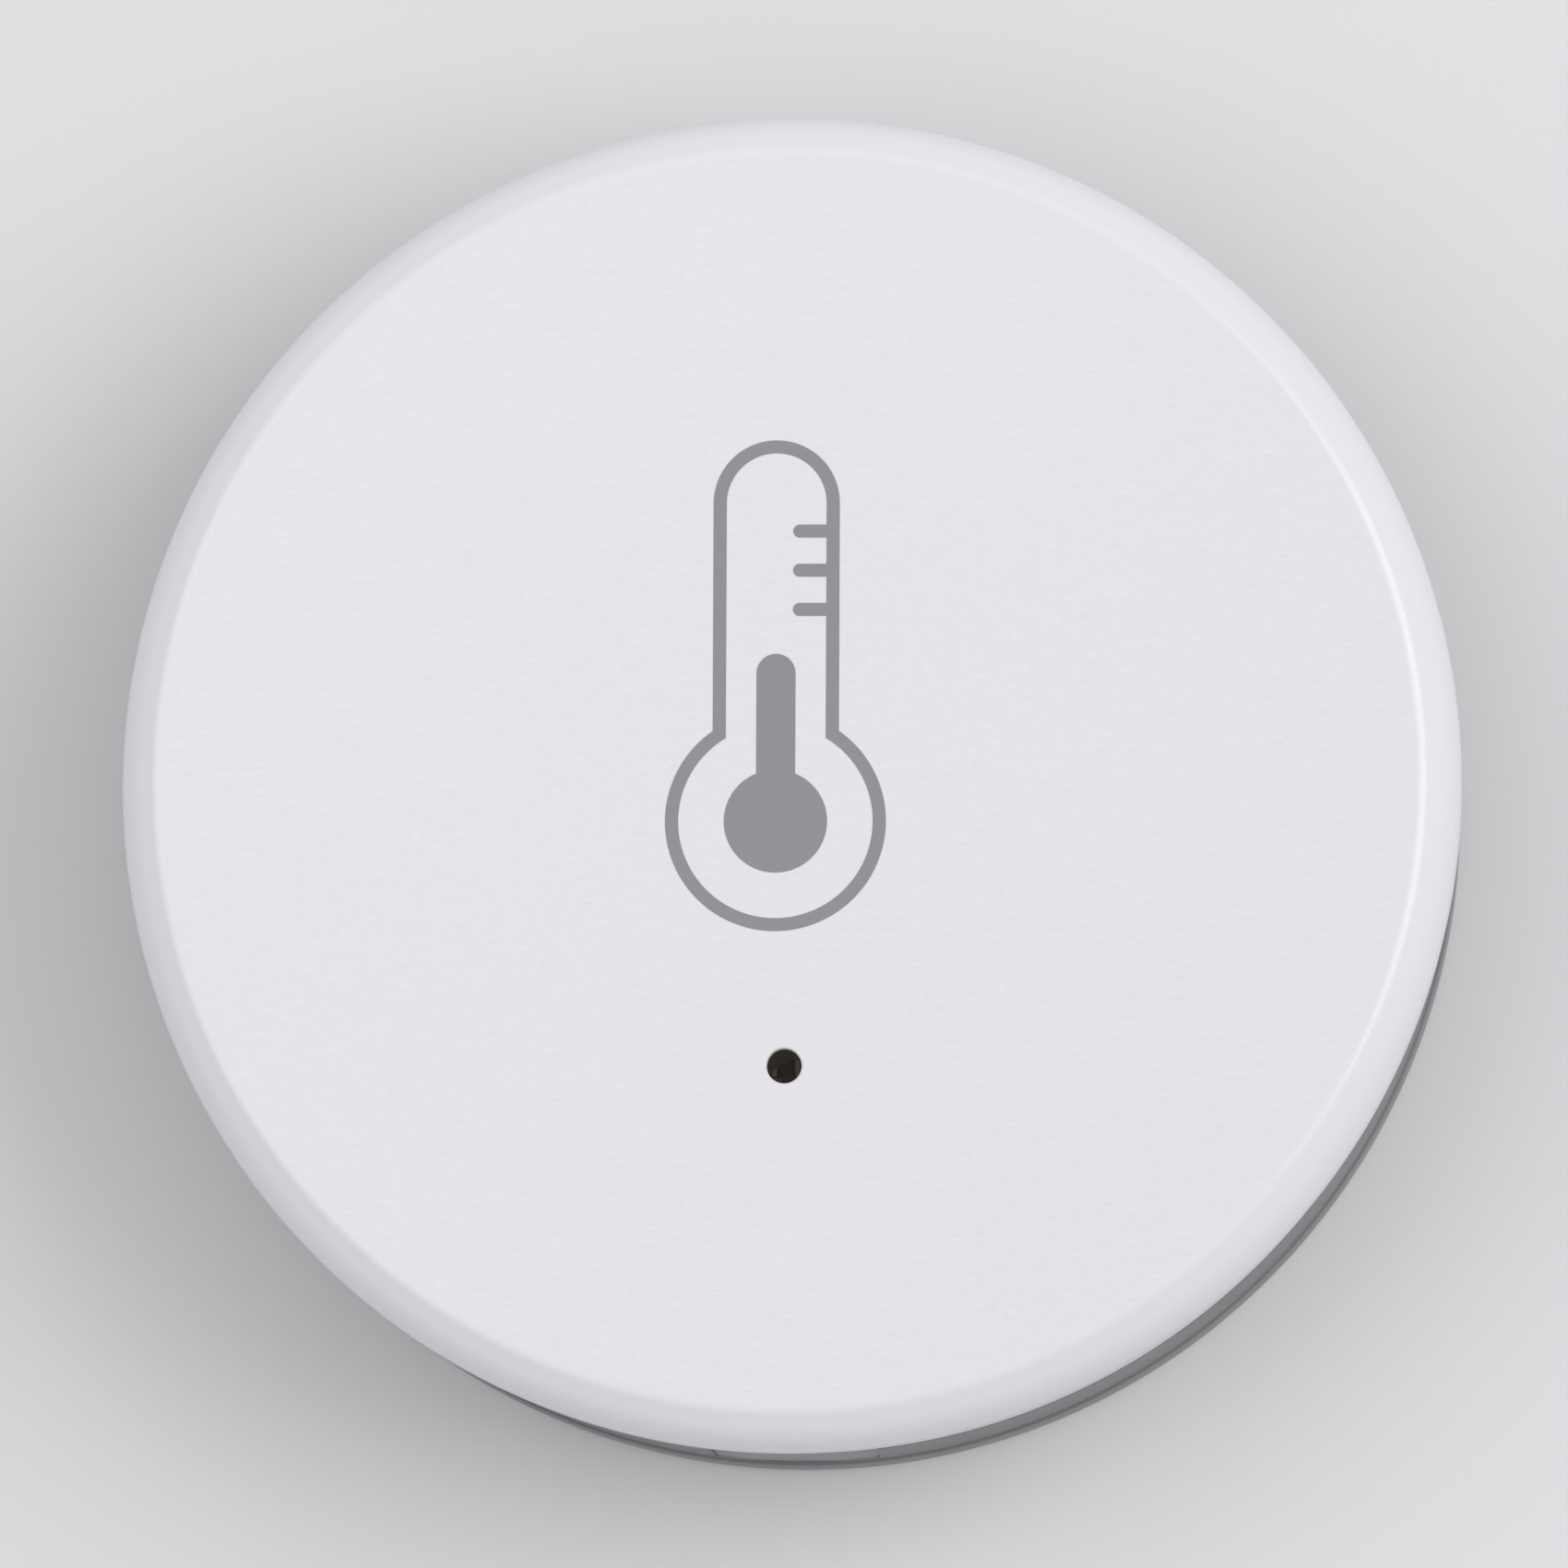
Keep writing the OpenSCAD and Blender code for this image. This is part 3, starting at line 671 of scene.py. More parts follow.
class Recipe:
    """The nodes that a material, or the sky, is cooked from."""

    def __init__(self, owner: Union[Material, World]) -> None:
        """Starts with an empty node tree.

        Args:
            owner: the material or world that the nodes belong to.
        """
        owner.use_nodes = True
        self.owner = owner
        self.tree = owner.node_tree
        self.tree.nodes.clear()

    @classmethod
    def material(cls, name: str) -> "Recipe":
        """Starts a material, with the place on the piece in millimetres at hand.

        Args:
            name: the finish's name, which is also the name of its slot.

        Returns:
            The recipe.
        """
        recipe = cls(bpy.data.materials.new(name + FINISH))
        place = recipe.node("ShaderNodeTexCoord", output="Object")
        recipe.place = recipe.node("ShaderNodeVectorMath", {"operation": "SCALE"}, {0: place, "Scale": 1 / MM})
        recipe.x, recipe.y, recipe.z = (
            recipe.node("ShaderNodeSeparateXYZ", inputs={0: recipe.place}, output=i) for i in range(3)
        )
        return recipe

    def node(
        self,
        kind: str,
        settings: Optional[Dict[str, object]] = None,
        inputs: Optional[Dict[Union[int, str], Input]] = None,
        output: Union[int, str] = 0,
    ) -> Sock:
        """Adds a node.

        Args:
            kind: the node's type.
            settings: its options.
            inputs: values or links of its sockets.
            output: the output to return.

        Returns:
            That output.
        """
        made = self.tree.nodes.new(kind)
        for key, value in (settings or {}).items():
            setattr(made, key, value)
        for key, value in (inputs or {}).items():
            if isinstance(value, Sock):
                self.tree.links.new(value.socket, made.inputs[key])
            else:
                made.inputs[key].default_value = value
        return Sock(self, made.outputs[output])

    def stretched(self, scale: Place, centre: Place = (0, 0, 0), turn: float = 0) -> Sock:
        """The place, moved to a centre, turned and stretched.

        Args:
            scale: factor along each axis, after the turn.
            centre: point that becomes the origin, in millimetres.
            turn: angle about Z in degrees.

        Returns:
            The new place.
        """
        moved = self.node("ShaderNodeVectorMath", {"operation": "SUBTRACT"}, {0: self.place, 1: centre})
        values = {"Vector": moved, "Rotation": (0, 0, math.radians(turn)), "Scale": scale}
        return self.node("ShaderNodeMapping", {"vector_type": "POINT"}, values)

    def noise(self, waves: Union[float, Place], detail: float = 2, rough: float = 0.5, turn: float = 0) -> Sock:
        """Soft noise.

        Args:
            waves: waves to a millimetre, the same every way or one number for each axis.
            detail: how many finer layers of noise lie on it.
            rough: how strong they are.
            turn: angle about Z in degrees.

        Returns:
            A value from 0 to 1.
        """
        scale = waves if isinstance(waves, tuple) else (waves,) * 3
        values = {"Vector": self.stretched(scale, turn=turn), "Scale": 1, "Detail": detail, "Roughness": rough}
        return self.node("ShaderNodeTexNoise", inputs=values)

    def rings(self, centre: Point, waves: float, detail: float = 3) -> Sock:
        """Noise that changes with the distance from an upright axis alone, as turned metal shows."""
        spot = self.node("ShaderNodeCombineXYZ", inputs={0: self.radius(*centre) * waves, 2: self.z * waves})
        return self.node("ShaderNodeTexNoise", inputs={"Vector": spot, "Scale": 1, "Detail": detail})

    def radius(self, x: float = 0, y: float = 0) -> Sock:
        """Distance from an upright axis, in millimetres."""
        flat = self.stretched((1, 1, 0), (x, y, 0))
        return self.node("ShaderNodeVectorMath", {"operation": "LENGTH"}, {0: flat}, "Value")

    def mix(self, share: Input, first: Input, second: Input, blend: str = "MIX") -> Sock:
        """A blend of two colours."""
        settings = {"data_type": "RGBA", "blend_type": blend}
        return self.node("ShaderNodeMix", settings, {0: share, 6: rgba(first), 7: rgba(second)}, 2)

    def shade(self, colour: Input, change: Input) -> Sock:
        """A colour made lighter or darker by a varying factor."""
        grey = self.node("ShaderNodeCombineColor", inputs={0: change, 1: change, 2: change})
        return self.mix(1.0, colour, grey, "MULTIPLY")

    def bump(self, height: Sock, depth: float) -> Sock:
        """A normal from a height between 0 and 1 that stands for a depth in millimetres."""
        values = {"Strength": 1.0, "Distance": depth * MM, "Height": height}
        return self.node("ShaderNodeBump", inputs=values)

    def tinted(self, colour: Input, layers: Sequence[Layer]) -> Sock:
        """A colour that layers make lighter or darker."""
        return self.shade(colour, sum((one.pattern * one.light for one in layers if one.light), 1.0))

    def roughened(self, value: float, layers: Sequence[Layer]) -> Input:
        """A roughness that layers change."""
        return sum((one.pattern * one.rough for one in layers if one.rough), value)

    def coat(self, colour: Input, rough: float, layers: Sequence[Layer], **more: Input) -> Material:
        """A surface of a colour and a roughness that its layers vary; the rest is as for skin."""
        tinted, roughened = self.tinted(colour, layers), self.roughened(rough, layers)
        return self.serve(self.skin(Base_Color=tinted, Roughness=roughened, **more))

    def skin(self, **sockets: Input) -> Sock:
        """A Principled shader: Base_Color stands for the socket Base Color, and so on."""
        values = {name.replace("_", " "): rgba(value) for name, value in sockets.items()}
        return self.node("ShaderNodeBsdfPrincipled", inputs=values)

    def serve(self, surface: Sock) -> Union[Material, World]:
        """Links a surface to the output of the material or world.

        Args:
            surface: the shader.

        Returns:
            The material or world.
        """
        kind = "World" if isinstance(self.owner, World) else "Material"
        end = self.tree.nodes.new("ShaderNodeOutput" + kind)
        self.tree.links.new(surface.socket, end.inputs["Surface"])
        return self.owner


def hairlines(r: Recipe) -> Sock:
    """The fine lines across the face, which show through the print too."""
    return r.noise((2.2, 13, 1), detail=3, rough=0.65)


@dataclass(frozen=True)
class CoverFinish:
    """White cover: satin face with fine hairlines across, a glossier shoulder, a painted glow inside and painted shade
    in the bore.
    """

    bore_at: Point
    face: Colour = tone(231, 229, 234)
    side: Colour = tone(233, 232, 237)
    # painted shade: the bore of the light tube is dark grey though the cover is white
    bore: Colour = tone(58, 56, 56)
    face_roughness: float = 0.42
    side_roughness: float = 0.24
    face_r: float = 16.9
    face_z: float = 11.2
    bore_r: float = 0.9
    bore_z: float = 11.1
    inside_r: float = 16.75
    inside_z: float = 10.4
    soft: float = 0.05
    # painted glow: the colour that the inside surfaces emit though they are no lamp, and its share in the bore
    painted_glow: Colour = tone(84, 79, 75)
    bore_painted_glow: float = 0.2
    # painted light: the cover grows lighter towards the upper left and darker towards the lower right
    painted_light_slope: float = 0.0009
    relief: float = 0.004
    grain_share: float = 0.35

    def make(self) -> Material:
        """Mixes the face, the shoulder, the painted shade in the bore of the light tube and the painted glow inside.

        Returns:
            The cover's material.
        """
        r = Recipe.material("cover_white")
        on_face = r.radius().below(self.face_r, 0.12) * r.z.above(self.face_z, 0.2)
        in_bore = r.radius(*self.bore_at).below(self.bore_r, self.soft) * r.z.below(self.bore_z, self.soft)
        inside = r.radius().below(self.inside_r, self.soft) * r.z.below(self.inside_z, self.soft)
        hairs, grain = hairlines(r), r.noise(9)
        pale, dark = r.noise((3.2, 11, 1), 1, 0.4).above(0.66, 0.08), r.noise((2.7, 9, 2), 1, 0.4).below(0.33, 0.06)
        layers = [
            Layer(on_face * hairs.centred(), light=0.05, rough=0.14),
            Layer(on_face * (pale - dark), light=0.025),
            Layer(r.noise(0.12).centred(), light=0.012),
            # painted light slope across the cover
            Layer(r.y - r.x, light=self.painted_light_slope),
            Layer(on_face, rough=self.face_roughness - self.side_roughness),
            Layer(grain.centred(), rough=0.05),
        ]
        plain = r.tinted(r.mix(on_face, self.side, self.face), layers)
        # painted glow on the inside surfaces, fainter in the bore
        painted_glow = r.shade(self.painted_glow, inside - in_bore * (inside - self.bore_painted_glow))
        surface = r.skin(
            # painted shade in the bore of the light tube
            Base_Color=r.mix(in_bore, plain, self.bore),
            Roughness=r.roughened(self.side_roughness, layers),
            Normal=r.bump(hairs * on_face + grain * self.grain_share, self.relief),
            Emission_Color=painted_glow,
            Emission_Strength=1.0,
        )
        return r.serve(surface)


@dataclass(frozen=True)
class PrintFinish:
    """Grey print on the face, which keeps the face's hairlines."""

    colour: Colour = tone(142, 141, 146)
    roughness: float = 0.46
    relief: float = 0.003

    def make(self) -> Material:
        """Lays ink over the hairlines.

        Returns:
            The print's material.
        """
        r = Recipe.material("print_grey")
        hairs = hairlines(r)
        layers = [Layer(hairs.centred(), light=0.09, rough=0.12), Layer(r.noise(14).centred(), light=0.05)]
        return r.coat(self.colour, self.roughness, layers, Normal=r.bump(hairs, self.relief))


@dataclass(frozen=True)
class Moulding:
    """A moulded plastic with a fine grain, faint clouds and a few lighter scuffs."""

    name: str
    colour: Colour
    roughness: float = 0.45
    grain: float = 8.0
    relief: float = 0.006
    clouds: float = 0.03

    def layers(self, r: Recipe, grain: Sock) -> List[Layer]:
        """What varies the plastic.

        Args:
            r: the recipe.
            grain: the plastic's grain.

        Returns:
            Its layers.
        """
        scuffs = r.noise((0.7, 5, 0.7), detail=4, rough=0.7, turn=28).above(0.68, 0.1)
        return [
            Layer(r.noise(0.25, detail=3).centred(), light=self.clouds, rough=0.12),
            Layer(grain.centred(), light=0.05, rough=0.1),
            Layer(scuffs, light=0.02, rough=-0.05),
        ]

    def make(self) -> Material:
        """Lays the layers over the colour.

        Returns:
            The plastic's material.
        """
        r = Recipe.material(self.name)
        grain = r.noise(self.grain, detail=3, rough=0.6)
        return r.coat(self.colour, self.roughness, self.layers(r, grain), Normal=r.bump(grain, self.relief))


@dataclass(frozen=True, kw_only=True)
class HousingFinish(Moulding):
    """Grey moulded plastic, with painted light: a little paler on the foot and much paler inside the pry recess."""

    recess: Extent
    foot_z: float
    name: str = "housing_grey"
    colour: Colour = tone(119, 119, 122)
    roughness: float = 0.42
    clouds: float = 0.04
    # painted light: how much paler the foot and the pry recess are made
    foot_painted_light: float = 0.3
    recess_painted_light: float = 0.85
    soft: float = 0.05

    def layers(self, r: Recipe, grain: Sock) -> List[Layer]:
        """What varies the plastic, with the painted light on the foot and in the pry recess.

        Args:
            r: the recipe.
            grain: the plastic's grain.

        Returns:
            Its layers.
        """
        low, high, soft = self.recess.low, self.recess.high, self.soft
        in_recess = r.y.below(high.y, soft) * abs(r.x).below(high.x, soft) * r.z.above(low.z, soft)
        in_recess = in_recess * r.radius().below(-low.y, soft)
        # painted light: the foot and the pry recess are made paler, as if lit
        painted_light_layers = [Layer(r.z.below(self.foot_z, 0.04), light=self.foot_painted_light), Layer(in_recess, light=self.recess_painted_light)]
        return super().layers(r, grain) + painted_light_layers


@dataclass(frozen=True)
class MaskFinish:
    """Green solder mask over copper, with bare tan cloth at the edges and a bare round window by the diode."""

    low: float
    high: float
    window: Point
    window_r: float = 0.62
    bare: Colour = tone(142, 134, 132)
    mask: Colour = tone(22, 92, 58)
    copper: Colour = tone(34, 112, 70)
    edge: Colour = tone(168, 160, 112)
    skin_t: float = 0.045
    weave: float = 2.6
    roughness: float = 0.28
    relief: float = 0.02

    def make(self) -> Material:
        """Mixes the mask, the copper under it, the bare window and the cut edges.

        Returns:
            The board's material.
        """
        r = Recipe.material("board_green")
        at_edge = r.z.above(self.low + self.skin_t, 0.01) * r.z.below(self.high - self.skin_t, 0.01)
        in_window = r.radius(*self.window).below(self.window_r, 0.03) * r.z.above(self.high - 0.01, 0.005)
        pour = r.noise(0.32, detail=0).above(0.47, 0.02)
        warp, weft = ((place * self.weave * math.tau).sine() for place in (r.x, r.y))
        weave = warp * weft
        cloth = [Layer(weave, light=0.03), Layer(r.noise(6).centred(), light=0.08)]
        laminate = [Layer(r.noise((0.5, 0.5, 14)).centred(), light=0.35)]
        polish = [Layer(at_edge, rough=0.45), Layer(r.noise(3).centred(), rough=0.1)]
        laid = r.mix(in_window, r.mix(pour, self.mask, self.copper), self.bare)
        surface = r.skin(
            Base_Color=r.mix(at_edge, r.tinted(laid, cloth), r.tinted(self.edge, laminate)),
            Roughness=r.roughened(self.roughness, polish),
            Normal=r.bump(pour * 0.6 + r.noise(5) * 0.3 + weave * 0.1, self.relief),
        )
        return r.serve(surface)


@dataclass(frozen=True)
class TrackFinish:
    """Copper tracks under the solder mask: a lighter green with a soft gloss."""

    colour: Colour = tone(44, 126, 80)
    roughness: float = 0.26
    relief: float = 0.004

    def make(self) -> Material:
        """Varies the green and its gloss.

        Returns:
            The tracks' material.
        """
        r = Recipe.material("track_green")
        layers = [Layer(r.noise(7).centred(), light=0.12), Layer(r.noise(4).centred(), rough=0.12)]
        return r.coat(self.colour, self.roughness, layers, Normal=r.bump(r.noise(12), self.relief))


@dataclass(frozen=True)
class Metal:
    """A metal with brushed lines, a stipple and faint stains."""

    name: str
    colour: Colour
    roughness: float = 0.3
    lines: Union[float, Place] = (2, 24, 2)
    relief: float = 0.003
    stain: float = 0.12

    def make(self) -> Material:
        """Brushes and stains the metal.

        Returns:
            The metal's material.
        """
        r = Recipe.material(self.name)
        lines = r.noise(self.lines, detail=3, rough=0.6)
        stains = Layer(r.noise(0.8, detail=3).centred(), light=self.stain, rough=0.12)
        layers = [Layer(lines.centred(), light=0.1, rough=0.16), stains]
        return r.coat(self.colour, self.roughness, layers, Metallic=1.0, Normal=r.bump(lines, self.relief))


@dataclass(frozen=True)
class TurnedMetal:
    """Metal with fine rings round an axis, as a pressed and spun can shows."""

    name: str
    colour: Colour
    centre: Point
    roughness: float = 0.26
    waves: float = 18.0
    relief: float = 0.004

    def make(self) -> Material:
        """Turns, stains and scratches the metal.

        Returns:
            The metal's material.
        """
        r = Recipe.material(self.name)
        rings = r.rings(self.centre, self.waves)
        layers = [
            Layer(rings.centred(), light=0.12, rough=0.2),
            Layer(r.noise(0.3, detail=4).centred(), light=0.1, rough=0.16),
            Layer(r.noise((0.5, 16, 0.5), turn=37).above(0.72, 0.05), light=0.05, rough=-0.05),
        ]
        return r.coat(self.colour, self.roughness, layers, Metallic=1.0, Normal=r.bump(rings, self.relief))


@dataclass(frozen=True)
class Fired:
    """A fired ceramic or glaze with fine specks."""

    name: str
    colour: Colour
    roughness: float = 0.4
    speck: float = 0.12
    relief: float = 0.004

    def make(self) -> Material:
        """Specks and clouds the ceramic.

        Returns:
            The ceramic's material.
        """
        r = Recipe.material(self.name)
        specks = r.noise(16, detail=3, rough=0.7)
        layers = [Layer(specks.centred(), light=self.speck, rough=0.15), Layer(r.noise(1.5).centred(), light=0.08)]
        return r.coat(self.colour, self.roughness, layers, Normal=r.bump(specks, self.relief))


@dataclass(frozen=True)
class BandedCase:
    """A yellow moulded case with a darker band at its positive end."""

    low_x: float
    high_x: float
    case: Colour = tone(226, 164, 48)
    band: Colour = tone(120, 62, 24)
    band_share: float = 0.2
    roughness: float = 0.42
    relief: float = 0.006

    def make(self) -> Material:
        """Prints the band on the case.

        Returns:
            The case's material.
        """
        r = Recipe.material("tantalum_yellow")
        grain = r.noise(10, detail=3)
        edge = self.low_x + self.band_share * (self.high_x - self.low_x)
        in_band = (r.x + grain * 0.02).below(edge, 0.03)
        layers = [Layer(grain.centred(), light=0.08, rough=0.16), Layer(in_band, rough=-0.06)]
        colour = r.mix(in_band, self.case, self.band)
        return r.coat(colour, self.roughness, layers, Normal=r.bump(grain, self.relief))


@dataclass(frozen=True)
class FilmWindow:
    """The humidity chip: black case, and a golden green film at the bottom of its opening."""

    centre: Point
    radius: float
    floor_z: float
    case: Colour = tone(34, 34, 36)
    film: Colour = tone(150, 146, 88)
    comb: float = 60.0
    roughness: float = 0.5
    relief: float = 0.005

    def make(self) -> Material:
        """Mixes the case and the film, on which the comb of its electrodes shows.

        Returns:
            The chip's material.
        """
        r = Recipe.material("humidity_black")
        grain = r.noise(11, detail=3)
        on_film = r.radius(*self.centre).below(self.radius - 0.03, 0.04) * r.z.below(self.floor_z + 0.05, 0.03)
        film = r.tinted(self.film, [Layer((r.x * self.comb).sine(), light=0.18)])
        layers = [Layer(grain.centred(), light=0.2, rough=0.2), Layer(on_film, rough=-0.25)]
        surface = r.skin(
            Base_Color=r.mix(on_film, r.tinted(self.case, layers), film),
            Roughness=r.roughened(self.roughness, layers),
            Normal=r.bump(grain, self.relief),
        )
        return r.serve(surface)


@dataclass(frozen=True)
class ClearEpoxy:
    """Clear, faintly yellow epoxy over the diode."""

    colour: Colour = tone(238, 232, 196)
    roughness: float = 0.17
    clearness: float = 0.6
    bending: float = 1.53
    relief: float = 0.002

    def make(self) -> Material:
        """Lays a faint haze in the epoxy.

        Returns:
            The lens's material.
        """
        r = Recipe.material("diode_clear")
        haze = r.noise(5)
        clear = {"Transmission_Weight": self.clearness, "IOR": self.bending}
        layers = [Layer(haze.centred(), light=0.1, rough=0.1)]
        return r.coat(self.colour, self.roughness, layers, Normal=r.bump(haze, self.relief), **clear)


@dataclass
class Camera:
    """The camera at the photograph's viewing angle."""

    azimuth: float = -62.4
    elevation: float = 83.09
    distance: float = 1036.0
    aim: Place = (-0.230, 0.069, 9.5)
    roll: float = 0.9
    picture: int = 1700
    focal: float = 41801.0
    sensor: float = 36.0
    near: float = 0.05
    far: float = 20.0

    def build(self) -> None:
        """Places the camera and makes it the scene's own."""
        back = heading(self.azimuth, self.elevation)
        right = Matrix.Rotation(math.radians(self.roll), 3, back) @ Vector((0, 1, 0)).cross(back).normalized()
        top = back.cross(right)
        data = bpy.data.cameras.new("camera")
        data.sensor_width = self.sensor
        data.lens = self.focal / self.picture * self.sensor
        data.clip_start, data.clip_end = self.near, self.far
        camera = bpy.data.objects.new("camera", data)
        bpy.context.collection.objects.link(camera)
        spot = (Vector(self.aim) + self.distance * back) * MM
        columns = Matrix((right, top, back)).transposed().to_4x4()
        camera.matrix_world = Matrix.Translation(spot) @ columns
        bpy.context.scene.camera = camera


@dataclass
class Studio:
    """A plain pale floor and soft light."""

    floor_colour: Colour = tone(226, 226, 228)
    floor_size: float = 6.0
    sky: float = 0.572
    sky_tilt: float = 0.12
    sky_rise: float = 0.9
    sky_level: float = 0.62

    def floor(self) -> None:
        """The floor that the sensor lies on."""
        Bench.clear()
        bpy.ops.mesh.primitive_plane_add(size=self.floor_size)
        floor = Bench.name(bpy.context.object, "floor")
        r = Recipe.material("floor_pale")
        floor.data.materials.append(r.coat(self.floor_colour, 0.8, [Layer(r.noise(0.02, 3).centred(), light=0.03)]))

    def sky_light(self) -> None:
        """A soft sky, brighter overhead and towards +Y, that the camera and mirrors see as pale as the floor."""
        world = bpy.data.worlds.new("studio")
        bpy.context.scene.world = world
        r = Recipe(world)
        rays = ("Is Camera Ray", "Is Glossy Ray", "Is Transmission Ray")
        by_camera, by_mirror, by_glass = (r.node("ShaderNodeLightPath", output=ray) for ray in rays)
        seen = by_camera.sum("MAXIMUM", by_camera, by_camera.sum("MAXIMUM", by_mirror, by_glass))
        way = r.node("ShaderNodeTexCoord", output="Generated")
        to_top, up = (r.node("ShaderNodeSeparateXYZ", inputs={0: way}, output=i) for i in (1, 2))
        strength = self.sky * (1 + to_top * self.sky_tilt + (up - self.sky_level) * self.sky_rise)
        light = r.node("ShaderNodeBackground", inputs={"Color": (1, 1, 1, 1), "Strength": strength})
        view = r.node("ShaderNodeBackground", inputs={"Color": rgba(self.floor_colour)})
        r.serve(r.node("ShaderNodeMixShader", inputs={0: seen, 1: light, 2: view}))

    def lamp(self, name: str, azimuth: float, elevation: float, size: float, power: float) -> None:
        """A soft square lamp that looks at the sensor from a metre away.

        Args:
            name: its name.
            azimuth: direction round the sensor in degrees, from +X towards +Y.
            elevation: height above the floor in degrees.
            size: side of the lamp in metres.
            power: its power in watts.
        """
        data = bpy.data.lights.new(name, "AREA")
        data.size = size
        data.energy = power
        way = heading(azimuth, elevation)
        lamp = bpy.data.objects.new(name, data)
        bpy.context.collection.objects.link(lamp)
        lamp.location = way
        lamp.rotation_euler = way.to_track_quat("Z", "Y").to_euler()
        lamp.visible_camera = False

    def build(self) -> None:
        """Sets up the whole studio."""
        self.floor()
        self.sky_light()
        self.lamp("key", azimuth=12, elevation=48, size=0.7, power=4.2)
        self.lamp("fill", azimuth=178, elevation=55, size=0.8, power=1.5)
        bpy.context.scene.view_settings.view_transform = "Standard"


@dataclass
class FrontCover:
    """The white front cover: a turned shell with a light hole, a light tube, a rib, stops and beads."""

    layout: Layout
    print_t: float = 0.01
    shoulder_w: float = 1.15
    bevel_angle: float = 38.0
    face_edge_r: float = 0.5
    face_rings: Tuple[float, ...] = (2.0, 0.25)
    side_edge_r: float = 1.4
    band_h: float = 0.5
    roof_t: float = 1.3
    roof_fillet: float = 0.8
    hole_d: float = 0.94
    hole_flare: float = 0.035
    hole_web: float = 0.35
    tube_d: float = 1.6
    tube_wall: float = 0.5
    tube_low: float = 5.2
    rib_r: float = 13.0
    rib_t: float = 0.8
    rib_h: float = 0.69
    stop_t: float = 0.9
    stop_l: float = 5.0
    stop_pitch: float = 4.5
    stop_gap: float = 0.3
    edge: float = 0.08
    crisp_angle: float = 25.0
    steps: int = 256

    @property
    def roof(self) -> float:
        """Height of the inner side of the face."""
        return self.layout.cover.high.z - self.roof_t

    @property
    def hole_at(self) -> Point:
        """Where the hole stands: over the diode."""
        return 0, self.layout.diode.foot.y

    def outline(self) -> List[Point]:
        """The shell's outline.

        Returns:
            Points over the face, down the side and back inside.
        """
        height, radius = self.layout.cover.high.z, self.layout.body_r
        low, seam, inner = self.layout.cover.low.z, self.layout.seam_r, self.layout.cover_in_r
        slope, fillet = math.radians(self.bevel_angle), self.roof_fillet
        face_r = radius - self.shoulder_w
        bevel_w = self.shoulder_w - self.face_edge_r * math.sin(slope) - self.side_edge_r * (1 - math.sin(slope))
        band_top = height - self.face_edge_r * (1 - math.cos(slope)) - bevel_w * math.tan(slope)
        band_top -= self.side_edge_r * math.cos(slope)
        top = height - self.print_t
        points = [(face_r - inwards, top) for inwards in self.face_rings]
        points += arc((face_r, top - self.face_edge_r), self.face_edge_r, 90, 90 - self.bevel_angle, steps=10)
        points += arc((radius - self.side_edge_r, band_top), self.side_edge_r, 90 - self.bevel_angle, 0, steps=18)
        points += [(radius, band_top - self.band_h)]
        points += arc((seam - self.edge, low + self.edge), self.edge, 0, -90, steps=4)
        points += [(inner + self.edge, low), (inner, low + self.edge)]
        points += arc((inner - fillet, self.roof - fillet), fillet, 0, 90, steps=6)
        return points

    def inside(self) -> List[Solid]:
        """What hangs from the roof and stands out of the wall.

        Returns:
            The rib, the light tube, the stops over the cell and the snap beads.
        """
        layout, edge, into_roof = self.layout, self.edge, self.roof + LAP
        rib_outline = band(self.rib_r - self.rib_t, self.rib_r, self.roof - self.rib_h, into_roof)
        rib = Bench.lathe("rib", rib_outline, steps=self.steps, ring=True)
        tube_r = self.tube_d / 2 + self.tube_wall
        tube_outline = [(tube_r - edge, self.tube_low), (tube_r, self.tube_low + edge), (tube_r, into_roof)]
        tube = Bench.lathe("tube", tube_outline, self.hole_at)
        stop_low = layout.cell.high.z + self.stop_gap
        stop_size = (self.stop_t, self.stop_l, into_roof - stop_low)
        stop_feet = [(i * self.stop_pitch, layout.cell.foot.y, stop_low) for i in (-1, 0, 1)]
        stops = [Bench.block("stop", stop_size, foot, edge) for foot in stop_feet]
        beads = layout.beads(layout.cover_in_r, layout.bead_t, layout.bead_h, layout.bead_arc)
        return [rib, tube, *stops, *beads]

    def build(self) -> Solid:
        """Turns the shell, adds what is inside and drills the hole.

        Returns:
            The finished shell.
        """
        height = self.layout.cover.high.z
        shell = Bench.lathe("front_shell", self.outline(), steps=self.steps)
        Bench.fuse(shell, *self.inside())
        bore_r, hole_r, mouth_r = self.tube_d / 2, self.hole_d / 2, self.hole_d / 2 + self.hole_flare
        top, web = height - self.print_t, height - self.hole_web
        drill = [(bore_r, self.tube_low - 2 * OVER), (bore_r, web), (hole_r, web)]
        drill += [(hole_r, top - self.hole_flare), (mouth_r, top), (mouth_r, top + 2 * OVER)]
        Bench.cut(shell, Bench.lathe("drill", drill, self.hole_at))
        return shell

    def dress(self) -> None:
        """Builds the shell and gives it its finish."""
        finish = CoverFinish(self.hole_at).make()
        Bench.finish(self.build(), Body.COVER, "cover_white", finish, ["front_cover"], self.crisp_angle)


